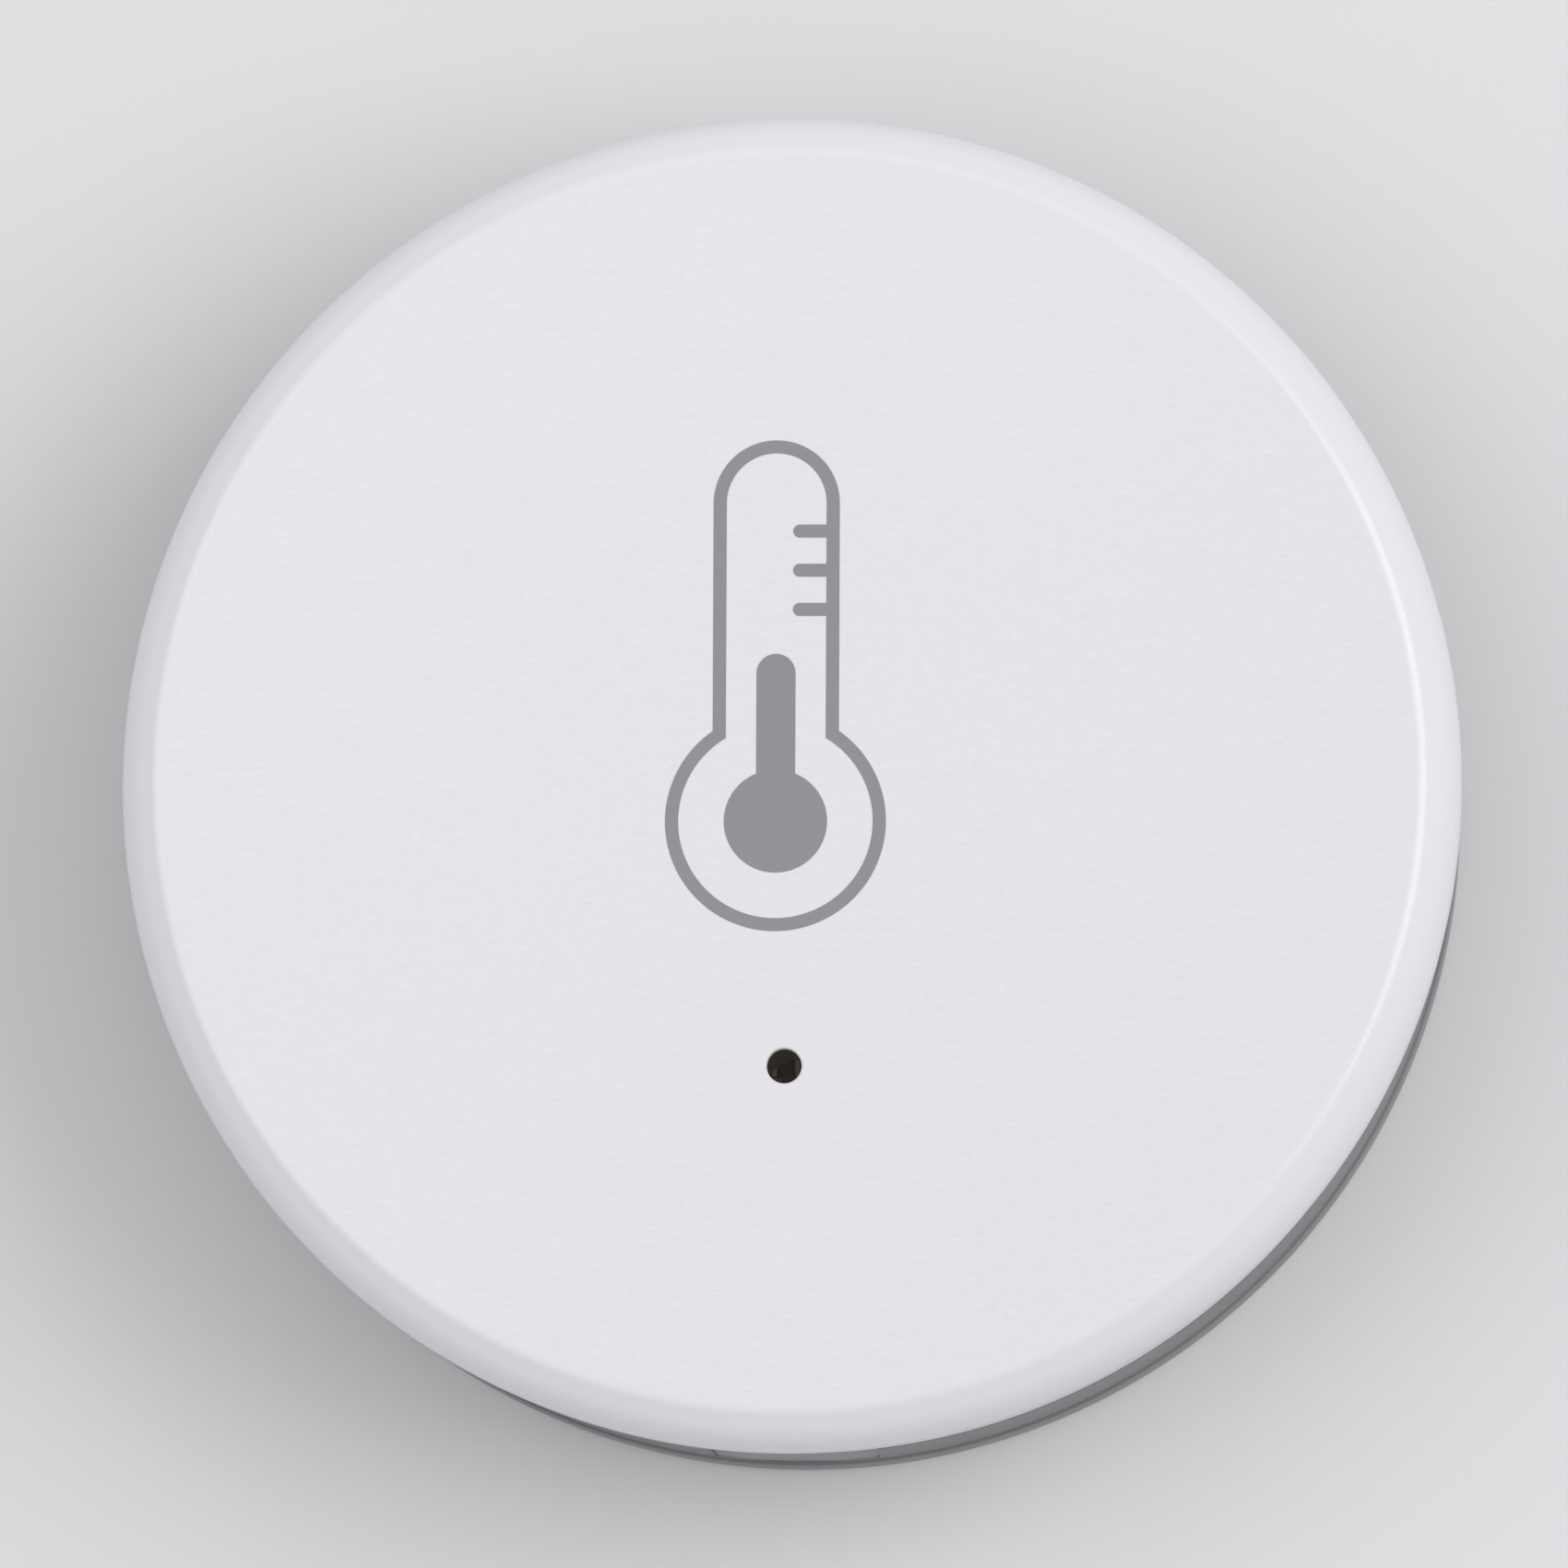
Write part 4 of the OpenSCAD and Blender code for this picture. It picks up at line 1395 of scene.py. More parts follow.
@dataclass
class ThermometerPrint:
    """The grey outline of a thermometer on the face, printed a little left of the middle."""

    layout: Layout
    bulb_x: float = -0.333
    bulb_y: float = -1.149
    tilt: float = 0.65
    stroke: float = 0.352
    bulb_r: float = 2.966
    tube_r: float = 1.695
    tube_l: float = 8.585
    core_r: float = 1.387
    stem_r: float = 0.5245
    stem_l: float = 3.99
    tick_at: Tuple[float, ...] = (7.828, 6.77, 5.711)
    tick_in: float = 0.447
    thickness: float = 0.05
    past: float = 0.1
    steps: int = 160

    @property
    def low(self) -> float:
        """Height of the print's underside."""
        return self.layout.cover.high.z - self.thickness

    def disc(self, radius: float, y: float, x: float = 0, over: float = 0) -> Solid:
        """A thin upright cylinder."""
        return Bench.rod("disc", radius, self.low - over, self.layout.cover.high.z + over, (x, y), self.steps)

    def capsule(self, radius: float, length: float, over: float = 0) -> Solid:
        """A bar from the bulb's middle with a round end."""
        bar = Bench.block("bar", (2 * radius, length, self.thickness + 2 * over), (0, length / 2, self.low - over))
        return Bench.fuse(bar, self.disc(radius, length, 0, over))

    def sign(self, bulb_r: float, stem_r: float, stem_l: float, over: float = 0) -> Solid:
        """A bulb with a stem, as long as from the bulb's middle to the middle of the stem's round end."""
        return Bench.fuse(self.disc(bulb_r, 0, 0, over), self.capsule(stem_r, stem_l, over))

    def tick(self, y: float) -> Solid:
        """A short mark from the right wall inwards, with a round end.

        Args:
            y: how far up it is.

        Returns:
            The mark.
        """
        half = self.stroke / 2
        x0, x1 = self.tick_in + half, self.tube_r - half
        mark = Bench.block("tick", (x1 - x0, self.stroke, self.thickness), ((x0 + x1) / 2, y, self.low))
        return Bench.fuse(mark, self.disc(half, y, x0))

    def build(self) -> Solid:
        """Draws the outline, hollows it, and adds the ticks and the filled core.

        Returns:
            The whole print as one thin piece.
        """
        line = self.sign(self.bulb_r, self.tube_r, self.tube_l)
        Bench.cut(line, self.sign(self.bulb_r - self.stroke, self.tube_r - self.stroke, self.tube_l, self.past))
        Bench.fuse(line, *[self.tick(y) for y in self.tick_at])
        core = self.sign(self.core_r, self.stem_r, self.stem_l)
        whole = Bench.turn(Bench.join("thermometer_print", [line, core]), self.tilt)
        whole.location = (self.bulb_x, self.bulb_y, 0)
        return Bench.settle(whole)

    def dress(self) -> None:
        """Builds the print and lets it ride on the cover."""
        Bench.finish(self.build(), Body.COVER, "cover_white", PrintFinish().make())


@dataclass
class RearHousing:
    """The grey rear housing: floor, wall with a foot, locating rim, board ledges, bosses, ribs and slots."""

    layout: Layout
    floor_t: float = 1.2
    floor_fillet: float = 0.25
    foot_h: float = 1.3
    foot_edge_r: float = 0.3
    chamfer: float = 0.3
    edge: float = 0.04
    groove_room: float = 1.15
    pry_w: float = 4.5
    pry_depth: float = 0.95
    pry_depth_low: float = 0.05
    pry_lift: float = 0.25
    pry_corner_r: float = 0.6
    vent_count: int = 7
    vent_w: float = 1.6
    vent_h: float = 2.9
    vent_lift: float = 1.2
    vent_pitch: float = 10.0
    vent_flare: float = 0.09
    ledge_w: float = 1.0
    ledge_arc: float = 16.0
    key_w: float = 2.0
    key_t: float = 0.9
    boss_wall: float = 1.1
    boss_steps: int = 64
    screw_clear: float = 0.04
    rib_ring_r: float = 5.125
    rib_t: float = 0.8
    rib_h: float = 0.7
    steps: int = 256

    @property
    def seam_z(self) -> float:
        """Height of the ledge at the seam."""
        return self.layout.cover.low.z - self.layout.seam_gap

    @property
    def pry_low(self) -> float:
        """Height of the lower end of the pry recess."""
        return self.foot_h + self.pry_lift

    def outline(self) -> List[Point]:
        """The shell's outline.

        Returns:
            Points under the foot, up the wall and rim, and down inside to the floor.
        """
        foot_r, seam, edge = self.layout.housing.high.x, self.layout.seam_r, self.edge
        top, outer, inner = self.layout.housing.high.z, self.layout.rim_r, self.layout.rim_in_r
        points = arc((foot_r - self.foot_edge_r, self.foot_edge_r), self.foot_edge_r, -90, 0, steps=8)
        points += arc((foot_r - edge, self.foot_h - edge), edge, 0, 90, steps=4)
        points += [(seam, self.foot_h)]
        points += arc((seam - edge, self.seam_z - edge), edge, 0, 90, steps=4)
        points += [(outer, self.seam_z), (outer, top - self.chamfer), (outer - self.chamfer, top)]
        points += arc((inner + edge, top - edge), edge, 90, 180, steps=3)
        fillet = self.floor_fillet
        points += arc((inner - fillet, self.floor_t + fillet), fillet, 0, -90, steps=5)
        return points

    def inside(self, screws: Sequence[Extent]) -> List[Solid]:
        """What stands on the floor inside.

        Args:
            screws: the room of the screws.

        Returns:
            The ledges, the key, the bosses and the ribs.
        """
        low, board_z, inner = self.floor_t - LAP, self.layout.board.low.z, self.layout.rim_in_r
        edge = 2 * self.edge
        ledge_in = inner - self.ledge_w
        ledge = [(ledge_in, low), (inner + LAP, low), (inner + LAP, board_z)]
        ledge += [(ledge_in + edge, board_z), (ledge_in, board_z - edge)]
        solids = [Bench.sweep("ledge", ledge, a, self.ledge_arc) for a in self.layout.bead_angles]
        key_size = (self.key_w, self.key_t + LAP, self.layout.board.high.z - low)
        solids.append(Bench.block("key", key_size, (0, inner - (self.key_t - LAP) / 2, low), edge))
        for box in screws:
            radius = self.shank_r(box) + self.boss_wall
            boss = [(radius, low), (radius, board_z - edge), (radius - edge, board_z)]
            solids.append(Bench.lathe("boss", boss, box.foot.xy, self.boss_steps))
        return solids + self.ribs(low, edge)

    def ribs(self, low: float, edge: float) -> List[Solid]:
        """The ribs that stiffen the floor.

        Args:
            low: height of their underside.
            edge: width of their eased edges.

        Returns:
            The round rib and the four that run out from it.
        """
        outer, top = self.rib_ring_r, self.floor_t + self.rib_h
        rib_in = outer - self.rib_t
        ring = [(rib_in, low), (outer, low), (outer, top - edge)]
        ring += [(outer - edge, top), (rib_in + edge, top), (rib_in, top - edge)]
        solids = [Bench.lathe("rib", ring, ring=True)]
        length = self.layout.rim_in_r - outer + 3 * LAP
        for angle in self.layout.bead_angles:
            size = (length, self.rib_t, self.rib_h + LAP)
            solids.append(Bench.turn(Bench.block("rib", size, (outer - LAP + length / 2, 0, low), edge), angle))
        return solids

    def shank_r(self, box: Extent) -> float:
        """Radius of a screw's bore: the head's room shows the screw, and the shank is half as wide."""
        return box.size.x / 4 + self.screw_clear

    def vent(self, angle: float) -> Solid:
        """A cutter for one air slot, with a flared mouth.

        Args:
            angle: where it is round the wall, in degrees.

        Returns:
            The cutter.
        """
        flare, start = self.vent_flare, self.layout.rim_in_r - OVER
        end = self.layout.seam_r - flare
        size = (end - start, self.vent_w, self.vent_h)
        vent = Bench.block("vent", size, ((start + end) / 2, 0, self.foot_h + self.vent_lift))
        Bench.pick(vent, Part.FACE, lambda place, normal: normal.x > FACING)
        bpy.ops.mesh.extrude_region_move(TRANSFORM_OT_translate={"value": (flare, 0, 0)})
        bpy.ops.transform.resize(value=(1, 1 + 2 * flare / self.vent_w, 1 + 2 * flare / self.vent_h))
        bpy.ops.mesh.extrude_region_move(TRANSFORM_OT_translate={"value": (OVER, 0, 0)})
        Bench.done()
        return Bench.turn(vent, angle)

    def pry_recess(self) -> Solid:
        """A cutter for the recess at the bottom: a ramp that leans inwards towards the seam.

        Returns:
            The cutter.
        """
        low, high = self.pry_low, self.seam_z + OVER
        back, reach = self.pry_depth_low - self.layout.seam_r, self.pry_depth_low + OVER
        tool = Bench.block("pry", (self.pry_w, reach, high - low), (0, back - reach / 2, low))
        Bench.pick(tool, Part.EDGE, lambda place, way: abs(way.y) > FACING and place.z < low + NEAR)
        bpy.ops.mesh.bevel(offset=self.pry_corner_r, segments=8, affect="EDGES")
        Bench.done()
        slope = math.atan((self.pry_depth - self.pry_depth_low) / (self.seam_z - low))
        Bench.pick(tool, Part.VERTEX, lambda place, normal: place.y > back - NEAR)
        bpy.ops.transform.resize(value=(1, 1, 1 / math.cos(slope)), center_override=(0, back, low))
        bpy.ops.transform.rotate(value=slope, orient_axis="X", center_override=(0, back, low))
        Bench.done()
        return tool

    def build(self) -> Solid:
        """Turns the shell, adds what is inside, and cuts the grooves, the slots, the recess and the bores.

        Returns:
            The finished housing.
        """
        layout = self.layout
        shell = Bench.lathe("rear_shell", self.outline(), steps=self.steps)
        screws = Extent.each("board_screws")
        Bench.fuse(shell, *self.inside(screws))
        depth = 2 * layout.bead_t
        grooves = layout.beads(layout.rim_r, depth, layout.bead_h + depth, self.groove_room * layout.bead_arc)
        middle = (self.vent_count - 1) / 2
        vents = [self.vent(180 + (i - middle) * self.vent_pitch) for i in range(self.vent_count)]
        Bench.cut(shell, *grooves, *vents, self.pry_recess())
        for box in screws:
            radius, mouth, edge = self.shank_r(box), layout.board.low.z, 2 * self.edge
            bore = [(radius, box.low.z - OVER / 2), (radius, mouth - edge)]
            bore += [(radius + edge, mouth), (radius + edge, mouth + 2 * OVER)]
            Bench.cut(shell, Bench.lathe("bore", bore, box.foot.xy, self.boss_steps))
        return shell

    def dress(self) -> None:
        """Builds the housing and gives it its finish."""
        half, seam = self.pry_w / 2, self.layout.seam_r
        low = Vector((-half, self.edge - seam, self.pry_low))
        recess = Extent(low, Vector((half, self.pry_depth + self.edge - seam, self.seam_z)))
        finish = HousingFinish(recess=recess, foot_z=self.foot_h)
        Bench.finish(self.build(), Body.BASE, finish.name, finish.make(), ["rear_housing"])


@dataclass
class CircuitBoard:
    """The round green board with its screw holes, a notch for the key and slots round the humidity chip."""

    layout: Layout
    edge: float = 0.05
    hole_r: float = 1.05
    notch_w: float = 2.2
    notch_t: float = 1.0
    slot_w: float = 0.6
    slot_gap: float = 0.3
    slot_round: float = 0.48
    window_at: Point = (-0.36, 0.62)
    steps: int = 192

    def slot(self, width: float, height: float, at: Point) -> Solid:
        """A cutter with routed round ends for a slot.

        Args:
            width: along X.
            height: along Y.
            at: its middle.

        Returns:
            The cutter.
        """
        low, through = self.layout.board.low.z - OVER, self.layout.board.size.z + 2 * OVER
        tool = Bench.block("slot", (width, height, through), (*at, low))
        Bench.pick(tool, Part.EDGE, lambda place, way: abs(way.z) > FACING)
        bpy.ops.mesh.bevel(offset=self.slot_round * self.slot_w, segments=5, affect="EDGES")
        Bench.done()
        return tool

    def build(self) -> Solid:
        """Turns the board and cuts the notch, the screw holes and the slots.

        Returns:
            The finished board.
        """
        box, edge = self.layout.board, self.edge
        radius, low, high = box.high.x, box.low.z, box.high.z
        outline = [(radius - edge, low), (radius, low + edge), (radius, high - edge), (radius - edge, high)]
        board = Bench.lathe("board", outline, steps=self.steps)
        notch_size = (self.notch_w, 2 * self.notch_t, box.size.z + 2 * OVER)
        cuts = [Bench.block("notch", notch_size, (0, self.layout.rim_in_r, low - OVER))]
        for screw in Extent.each("board_screws"):
            cuts.append(Bench.rod("hole", self.hole_r, low - OVER, high + OVER, screw.foot.xy, steps=48))
        humid = Extent.of("humidity_chip")
        width, (x, y) = humid.size.x, humid.foot.xy
        reach = width / 2 + self.slot_gap + self.slot_w / 2
        cuts.append(self.slot(self.slot_w, width, (x + reach, y)))
        cuts += [self.slot(width, self.slot_w, (x - self.slot_gap, y + side * reach)) for side in (-1, 1)]
        Bench.cut(board, *cuts)
        return board

    def dress(self) -> None:
        """Builds the board and gives it its finish."""
        box, foot = self.layout.board, self.layout.diode.foot
        window = (foot.x + self.window_at[0], foot.y + self.window_at[1])
        finish = MaskFinish(box.low.z, box.high.z, window).make()
        Bench.finish(self.build(), Body.BASE, "board_green", finish, ["circuit_board"])


@dataclass
class Tracks:
    """Copper tracks that show as ridges under the solder mask, each with one bend."""

    board_z: float
    width: float = 0.2
    height: float = 0.025
    pitch: float = 0.5
    antenna_wide: float = 1.6
    power_wide: float = 2.5
    power_gap: float = 2.7
    gate_gap: float = 0.3
    gate_pitch: float = 1.5
    lane_dx: float = 1.6
    lane_y: float = -6.2

    def line(self, start: Point, end: Point, straight_first: bool = True, wide: float = 1) -> Solid:
        """One track.

        Args:
            start: one end.
            end: the other end.
            straight_first: True if the slanted stretch is at the end, or else it is at the start.
            wide: its width as a multiple of the usual one.

        Returns:
            The track as a flat ridge.
        """
        run = [end[i] - start[i] for i in range(2)]
        slant = min(abs(step) for step in run)
        step = [math.copysign(slant, way) for way in run]
        bend = [end[i] - step[i] if straight_first else start[i] + step[i] for i in range(2)]
        curve = bpy.data.curves.new("track", "CURVE")
        curve.dimensions = "3D"
        curve.bevel_depth = wide * self.width / 2
        curve.bevel_resolution = 1
        curve.use_fill_caps = True
        spline = curve.splines.new("POLY")
        spline.points.add(2)
        for point, place in zip(spline.points, (start, bend, end)):
            point.co = (place[0], place[1], 0, 1)
        piece = bpy.data.objects.new("track", curve)
        bpy.context.collection.objects.link(piece)
        Bench.only(piece)
        bpy.ops.object.convert(target="MESH")
        piece = bpy.context.object
        piece.scale.z = self.height / curve.bevel_depth
        piece.location.z = self.board_z
        return Bench.settle(piece)

    def build(self) -> Solid:
        """Runs the tracks from part to part.

        Returns:
            All tracks as one piece.
        """
        radio, crystal, antenna, inductor = Extent.row("radio_chip", "radio_crystal", "antenna", "match_inductor")
        diode, humid, switch, tank = Extent.row("diode_base", "humidity_chip", "switch_base", "reservoir_capacitor")
        leads, contacts = Extent.row("supervisor_leads", "side_contacts")
        pull_up = Extent.each("chip_resistors")[0]
        lines = [
            self.line(radio.at(1, 0.72), diode.at(-1, 0)),
            self.line(radio.at(1, 0.5), leads.at(-0.8, -1)),
            self.line(radio.at(1, 0.27), pull_up.at(0, 1)),
            self.line(radio.at(1, -0.94), inductor.at(0, 1), wide=self.antenna_wide),
            self.line(inductor.at(0, -0.9), antenna.at(-1, 0), wide=self.antenna_wide),
            self.line(pull_up.at(0, -1), switch.at(-1, -0.7), straight_first=False),
            self.line(crystal.at(1, 0.5), radio.at(-1, 0.94)),
            self.line(crystal.at(1, -0.5), radio.at(-1, 0.5)),
            self.line(diode.at(1, 0), leads.at(-1, 0.5)),
        ]
        x, y = humid.at(1, -1, self.gate_gap)
        for i in range(2):
            lane = (x + self.lane_dx + i * self.pitch, self.lane_y)
            lines.append(self.line((x, y + i * self.width * self.gate_pitch), lane, straight_first=False))
        power = (tank.at(-0.6, 1), tank.at(0, 1, self.power_gap), contacts.at(0.9, -1))
        lines += [self.line(start, end, wide=self.power_wide) for start, end in zip(power, power[1:])]
        return Bench.join("board_tracks", lines)

    def dress(self) -> None:
        """Builds the tracks and lets them ride with the board."""
        Bench.finish(self.build(), Body.BASE, "board_green", TrackFinish().make())


@dataclass
class BoardPrint:
    """White print on the board: corner marks, an arc along the holder, dots, plus signs and bars by the diode."""

    layout: Layout
    stroke: float = 0.12
    thickness: float = 0.04
    gap: float = 0.38
    leg: float = 0.7
    dot_r: float = 0.14
    supervisor_gap: float = 0.25
    arc_gap: float = 0.2
    arc_span: float = 150.0
    plus_w: float = 0.9
    cell_plus: Place = (0.93, 1, 1.2)
    tank_plus: Place = (-1, 0, 0.75)
    diode_bars: Tuple[Point, ...] = ((-0.67, 0.66), (-0.05, 0.66))
    diode_bar_l: float = 0.46

    @property
    def low(self) -> float:
        """Height of the board's upper side."""
        return self.layout.board.high.z

    def bar(self, width: float, height: float, at: Point) -> Solid:
        """A printed bar."""
        return Bench.block("bar", (width, height, self.thickness), (*at, self.low))

    def plus(self, at: Point) -> List[Solid]:
        """The two bars of a plus sign."""
        return [self.bar(self.plus_w, self.stroke, at), self.bar(self.stroke, self.plus_w, at)]

    def dot(self, at: Point) -> Solid:
        """A printed dot."""
        return Bench.rod("dot", self.dot_r, self.low, self.low + self.thickness, at, steps=24)

    def corner(self, box: Extent, x_side: int, y_side: int) -> List[Solid]:
        """A mark of two legs outside a corner of a part.

        Args:
            box: the part's room.
            x_side: 1 for the right, -1 for the left.
            y_side: 1 for the upper corner, -1 for the lower one.

        Returns:
            The legs.
        """
        x, y = box.at(x_side, y_side, self.gap)
        inwards = (self.leg - self.stroke) / 2
        return [
            self.bar(self.leg, self.stroke, (x - x_side * inwards, y)),
            self.bar(self.stroke, self.leg, (x, y - y_side * inwards)),
        ]

    def holder_arc(self) -> Solid:
        """The line that follows the round end of the cell holder.

        Returns:
            The line.
        """
        inner = Extent.of("cell_holder").high.x + self.arc_gap
        outline = band(inner, inner + self.stroke, self.low, self.low + self.thickness)
        line = Bench.sweep("arc", outline, -90, self.arc_span, steps=64)
        line.location.y = self.layout.cell.foot.y
        return Bench.settle(line)

    def build(self) -> Solid:
        """Prints every mark.

        Returns:
            The whole print as one piece.
        """
        radio, switch, tank, antenna = Extent.row("radio_chip", "switch_base", "reservoir_capacitor", "antenna")
        supervisor, contacts = Extent.row("supervisor_chip", "side_contacts")
        marked = ((radio, 1, 1), (radio, 1, -1), (radio, -1, -1), (switch, 1, 1), (switch, 1, -1), (switch, -1, 1))
        marks = []
        for box, x_side, y_side in (*marked, (tank, 1, 1), (antenna, 1, 1), (antenna, 1, -1)):
            marks += self.corner(box, x_side, y_side)
        marks += [self.dot(radio.at(-1, 1, self.gap)), self.dot(supervisor.at(-1, -1, self.supervisor_gap))]
        marks += self.plus(contacts.at(*self.cell_plus)) + self.plus(tank.at(*self.tank_plus))
        x, y = self.layout.diode.foot.xy
        marks += [self.bar(self.stroke, self.diode_bar_l, (x + dx, y + dy)) for dx, dy in self.diode_bars]
        return Bench.join("board_print", [*marks, self.holder_arc()])

    def dress(self) -> None:
        """Builds the print and lets it ride with the board."""
        ink = Moulding("board_ink", tone(226, 228, 220), roughness=0.6, grain=12, relief=0.003).make()
        Bench.finish(self.build(), Body.BASE, "board_green", ink)


@dataclass
class Solder:
    """Tinned pads on the board, each with a fillet of solder against the end or lead of a part."""

    board_z: float
    pad_t: float = 0.03
    reach: float = 0.2
    margin: float = 0.05
    toe: float = 0.2
    test_pad_r: float = 0.4
    test_pads: Tuple[Point, ...] = ((-0.9, -11.4), (0.2, -11.4), (1.3, -11.4))
    made: List[Solid] = field(default_factory=list)

    def joint(self, place: Sequence[float], angle: float, width: float, height: float) -> None:
        """Adds a pad and its fillet.

        Args:
            place: foot of the end that the solder holds, seen from above.
            angle: direction away from the part in degrees.
            width: width of that end.
            height: how high the solder climbs.
        """
        middle, low = self.reach / 2, self.board_z
        fillet = Bench.block("fillet", (self.reach, width, height), (middle, 0, low))
        Bench.pick(fillet, Part.VERTEX, lambda at, normal: at.x > middle and at.z > low + height / 2)
        bpy.ops.transform.translate(value=(0, 0, (self.toe - 1) * height))
        Bench.done()
        pad_size = (self.reach + 2 * self.margin, width + 2 * self.margin, self.pad_t)
        for piece in (fillet, Bench.block("pad", pad_size, (middle, 0, low))):
            Bench.turn(piece, angle)
            piece.location = (place[0], place[1], 0)
            self.made.append(Bench.settle(piece))

    def ends(self, box: Extent, along: int, width_share: float, height_share: float) -> None:
        """Adds the joints at both ends of a part.

        Args:
            box: the part's room.
            along: the axis that runs from end to end, 0 for X or 1 for Y.
            width_share: width of a joint, as a share of the part's.
            height_share: how high the solder climbs, as a share of the part's height.
        """
        width, height = width_share * box.size[1 - along], height_share * box.size.z
        for side in (-1, 1):
            shares = (side, 0) if along == 0 else (0, side)
            self.joint(box.at(*shares), 90 * along + (0 if side > 0 else 180), width, height)

    def rows(
        self, box: Extent, angles: Sequence[int], count: int, width: float, height: float, spread: float
    ) -> None:
        """Adds a row of joints along each of several sides of a part.

        Args:
            box: the part's room.
            angles: directions that the sides face, multiples of 90 degrees.
            count: number of joints on a side.
            width: width of one joint.
            height: how high the solder climbs.
            spread: share of the side between the first and the last.
        """
        for angle in angles:
            way = heading(angle)
            for i in range(count):
                offset = spread * (2 * i / (count - 1) - 1)
                self.joint(box.at(way.x - offset * way.y, way.y + offset * way.x), angle, width, height)

    def dress(self, tin: Material) -> None:
        """Adds the test pads and makes one piece of it all, which rides with the board.

        Args:
            tin: the solder's material.
        """
        low, radius = self.board_z, self.test_pad_r
        outline = [(radius, low), (radius, low + self.pad_t / 2), (radius - self.margin, low + self.pad_t)]
        self.made += [Bench.lathe("test_pad", outline, at, steps=32) for at in self.test_pads]
        Bench.finish(Bench.join("solder", self.made), Body.BASE, "lead_tin", tin)


@dataclass
class EndCapped:
    """Chips with a fired or moulded body between two tinned ends."""

    node: str
    material: Material
    tin: Material
    solder: Solder
    along: int = 1
    cap_share: float = 0.24
    inset: float = 0.025
    strap_w: float = 1.0
    strap_h: float = 1.0
    top_share: float = 1.0
    edge: float = 0.035
    climb: float = 0.6

    def sized(self, length: float, across: float, height: float) -> Place:
        """Sides of a box whose length runs along the chip."""
        return (length, across, height) if self.along == 0 else (across, length, height)

    def dress(self) -> None:
        """Builds the bodies, their ends and their solder."""
        bodies, ends = [], []
        for box in Extent.each(self.node):
            length, across, height = box.size[self.along], box.size[1 - self.along], box.size.z
            size = self.sized(length - 2 * self.inset, across - 2 * self.inset, height - self.inset)
            body = Bench.block("chip", size, box.foot)
            Bench.draft(body, self.top_share)
            Bench.ease(body, self.edge)
            bodies.append(body)
            cap = self.cap_share * length
            for side in (-1, 1):
                foot = box.foot.copy()
                foot[self.along] += side * (length - cap) / 2
                size = self.sized(cap, across * self.strap_w, height * self.strap_h)
                ends.append(Bench.block("end", size, foot, self.edge))
            self.solder.ends(box, self.along, self.strap_w, self.climb * self.strap_h)
        chips = Bench.join(self.node + "_chips", bodies)
        Bench.finish(chips, Body.BASE, self.material.name.removesuffix(FINISH), self.material, [self.node])
        Bench.finish(Bench.join(self.node + "_ends", ends), Body.BASE, "lead_tin", self.tin)


@dataclass
class EasedPart:
    """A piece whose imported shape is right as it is: its edges are eased and its finish is better."""

    node: str
    material: Material
    width: float
    body: Body = Body.BASE
    segments: int = 2

    def dress(self) -> None:
        """Eases a copy of the piece and gives it its finish."""
        piece = Bench.name(Bench.copy(self.node), self.node + "_eased")
        Bench.ease(piece, self.width, self.segments)
        Bench.finish(piece, self.body, self.material.name.removesuffix(FINISH), self.material, [self.node])


@dataclass
class RadioChip:
    """The radio chip: a flat moulded case with a dimple at its first pin and pads on all sides."""

    material: Material
    solder: Solder
    pad_count: int = 8
    pad_w: float = 0.24
    pad_h: float = 0.22
    pad_spread: float = 0.78
    dot_at: Point = (-0.8, 0.8)
    dot_share: float = 0.05
    dot_floor: float = 0.8
    edge: float = 0.05

    def dress(self) -> None:
        """Builds the case and its solder."""
        box = Extent.of("radio_chip")
        case = Bench.block("radio_case", box.size, box.foot, self.edge)
        dot_r, top = self.dot_share * box.size.x, box.high.z
        dot = [(dot_r * self.dot_floor, top - dot_r / 4), (dot_r, top), (dot_r, top + OVER)]
        Bench.cut(case, Bench.lathe("dot", dot, box.at(*self.dot_at), steps=32))
        self.solder.rows(box, (0, 90, 180, 270), self.pad_count, self.pad_w, self.pad_h, self.pad_spread)
        Bench.finish(case, Body.BASE, "chip_black", self.material, ["radio_chip"])


@dataclass
class Crystal:
    """The crystal: a ceramic base with a metal lid that is welded on along a narrow rim."""

    solder: Solder
    rim: float = 0.1
    weld: float = 0.04
    edge: float = 0.06
    pad_w: float = 0.6
    pad_spread: float = 0.5

    def dress(self) -> None:
        """Builds the crystal and its solder."""
        box = Extent.of("radio_crystal")
        half, lap = box.size.z / 2, Vector((0, 0, LAP))
        case = Bench.block("crystal_case", (box.size.x, box.size.y, half), box.foot, self.edge)
        lid_size = Vector((box.size.x - 2 * self.rim, box.size.y - 2 * self.rim, half))
        lid_foot = box.foot + Vector((0, 0, half))
        seam_size = (lid_size.x + self.weld, lid_size.y + self.weld, 2 * self.weld)
        seam = Bench.block("seam", seam_size, lid_foot - Vector((0, 0, self.weld)), self.weld / 2)
        lid = Bench.block("lid", lid_size + lap, lid_foot - lap, self.edge, segments=3)
        Bench.fuse(case, seam, lid)
        self.solder.rows(box, (0, 180), 2, self.pad_w, half / 2, self.pad_spread)
        metal = Metal("crystal_metal", tone(206, 202, 194), roughness=0.26, lines=(3, 20, 3)).make()
        Bench.finish(case, Body.BASE, "crystal_metal", metal, ["radio_crystal"])


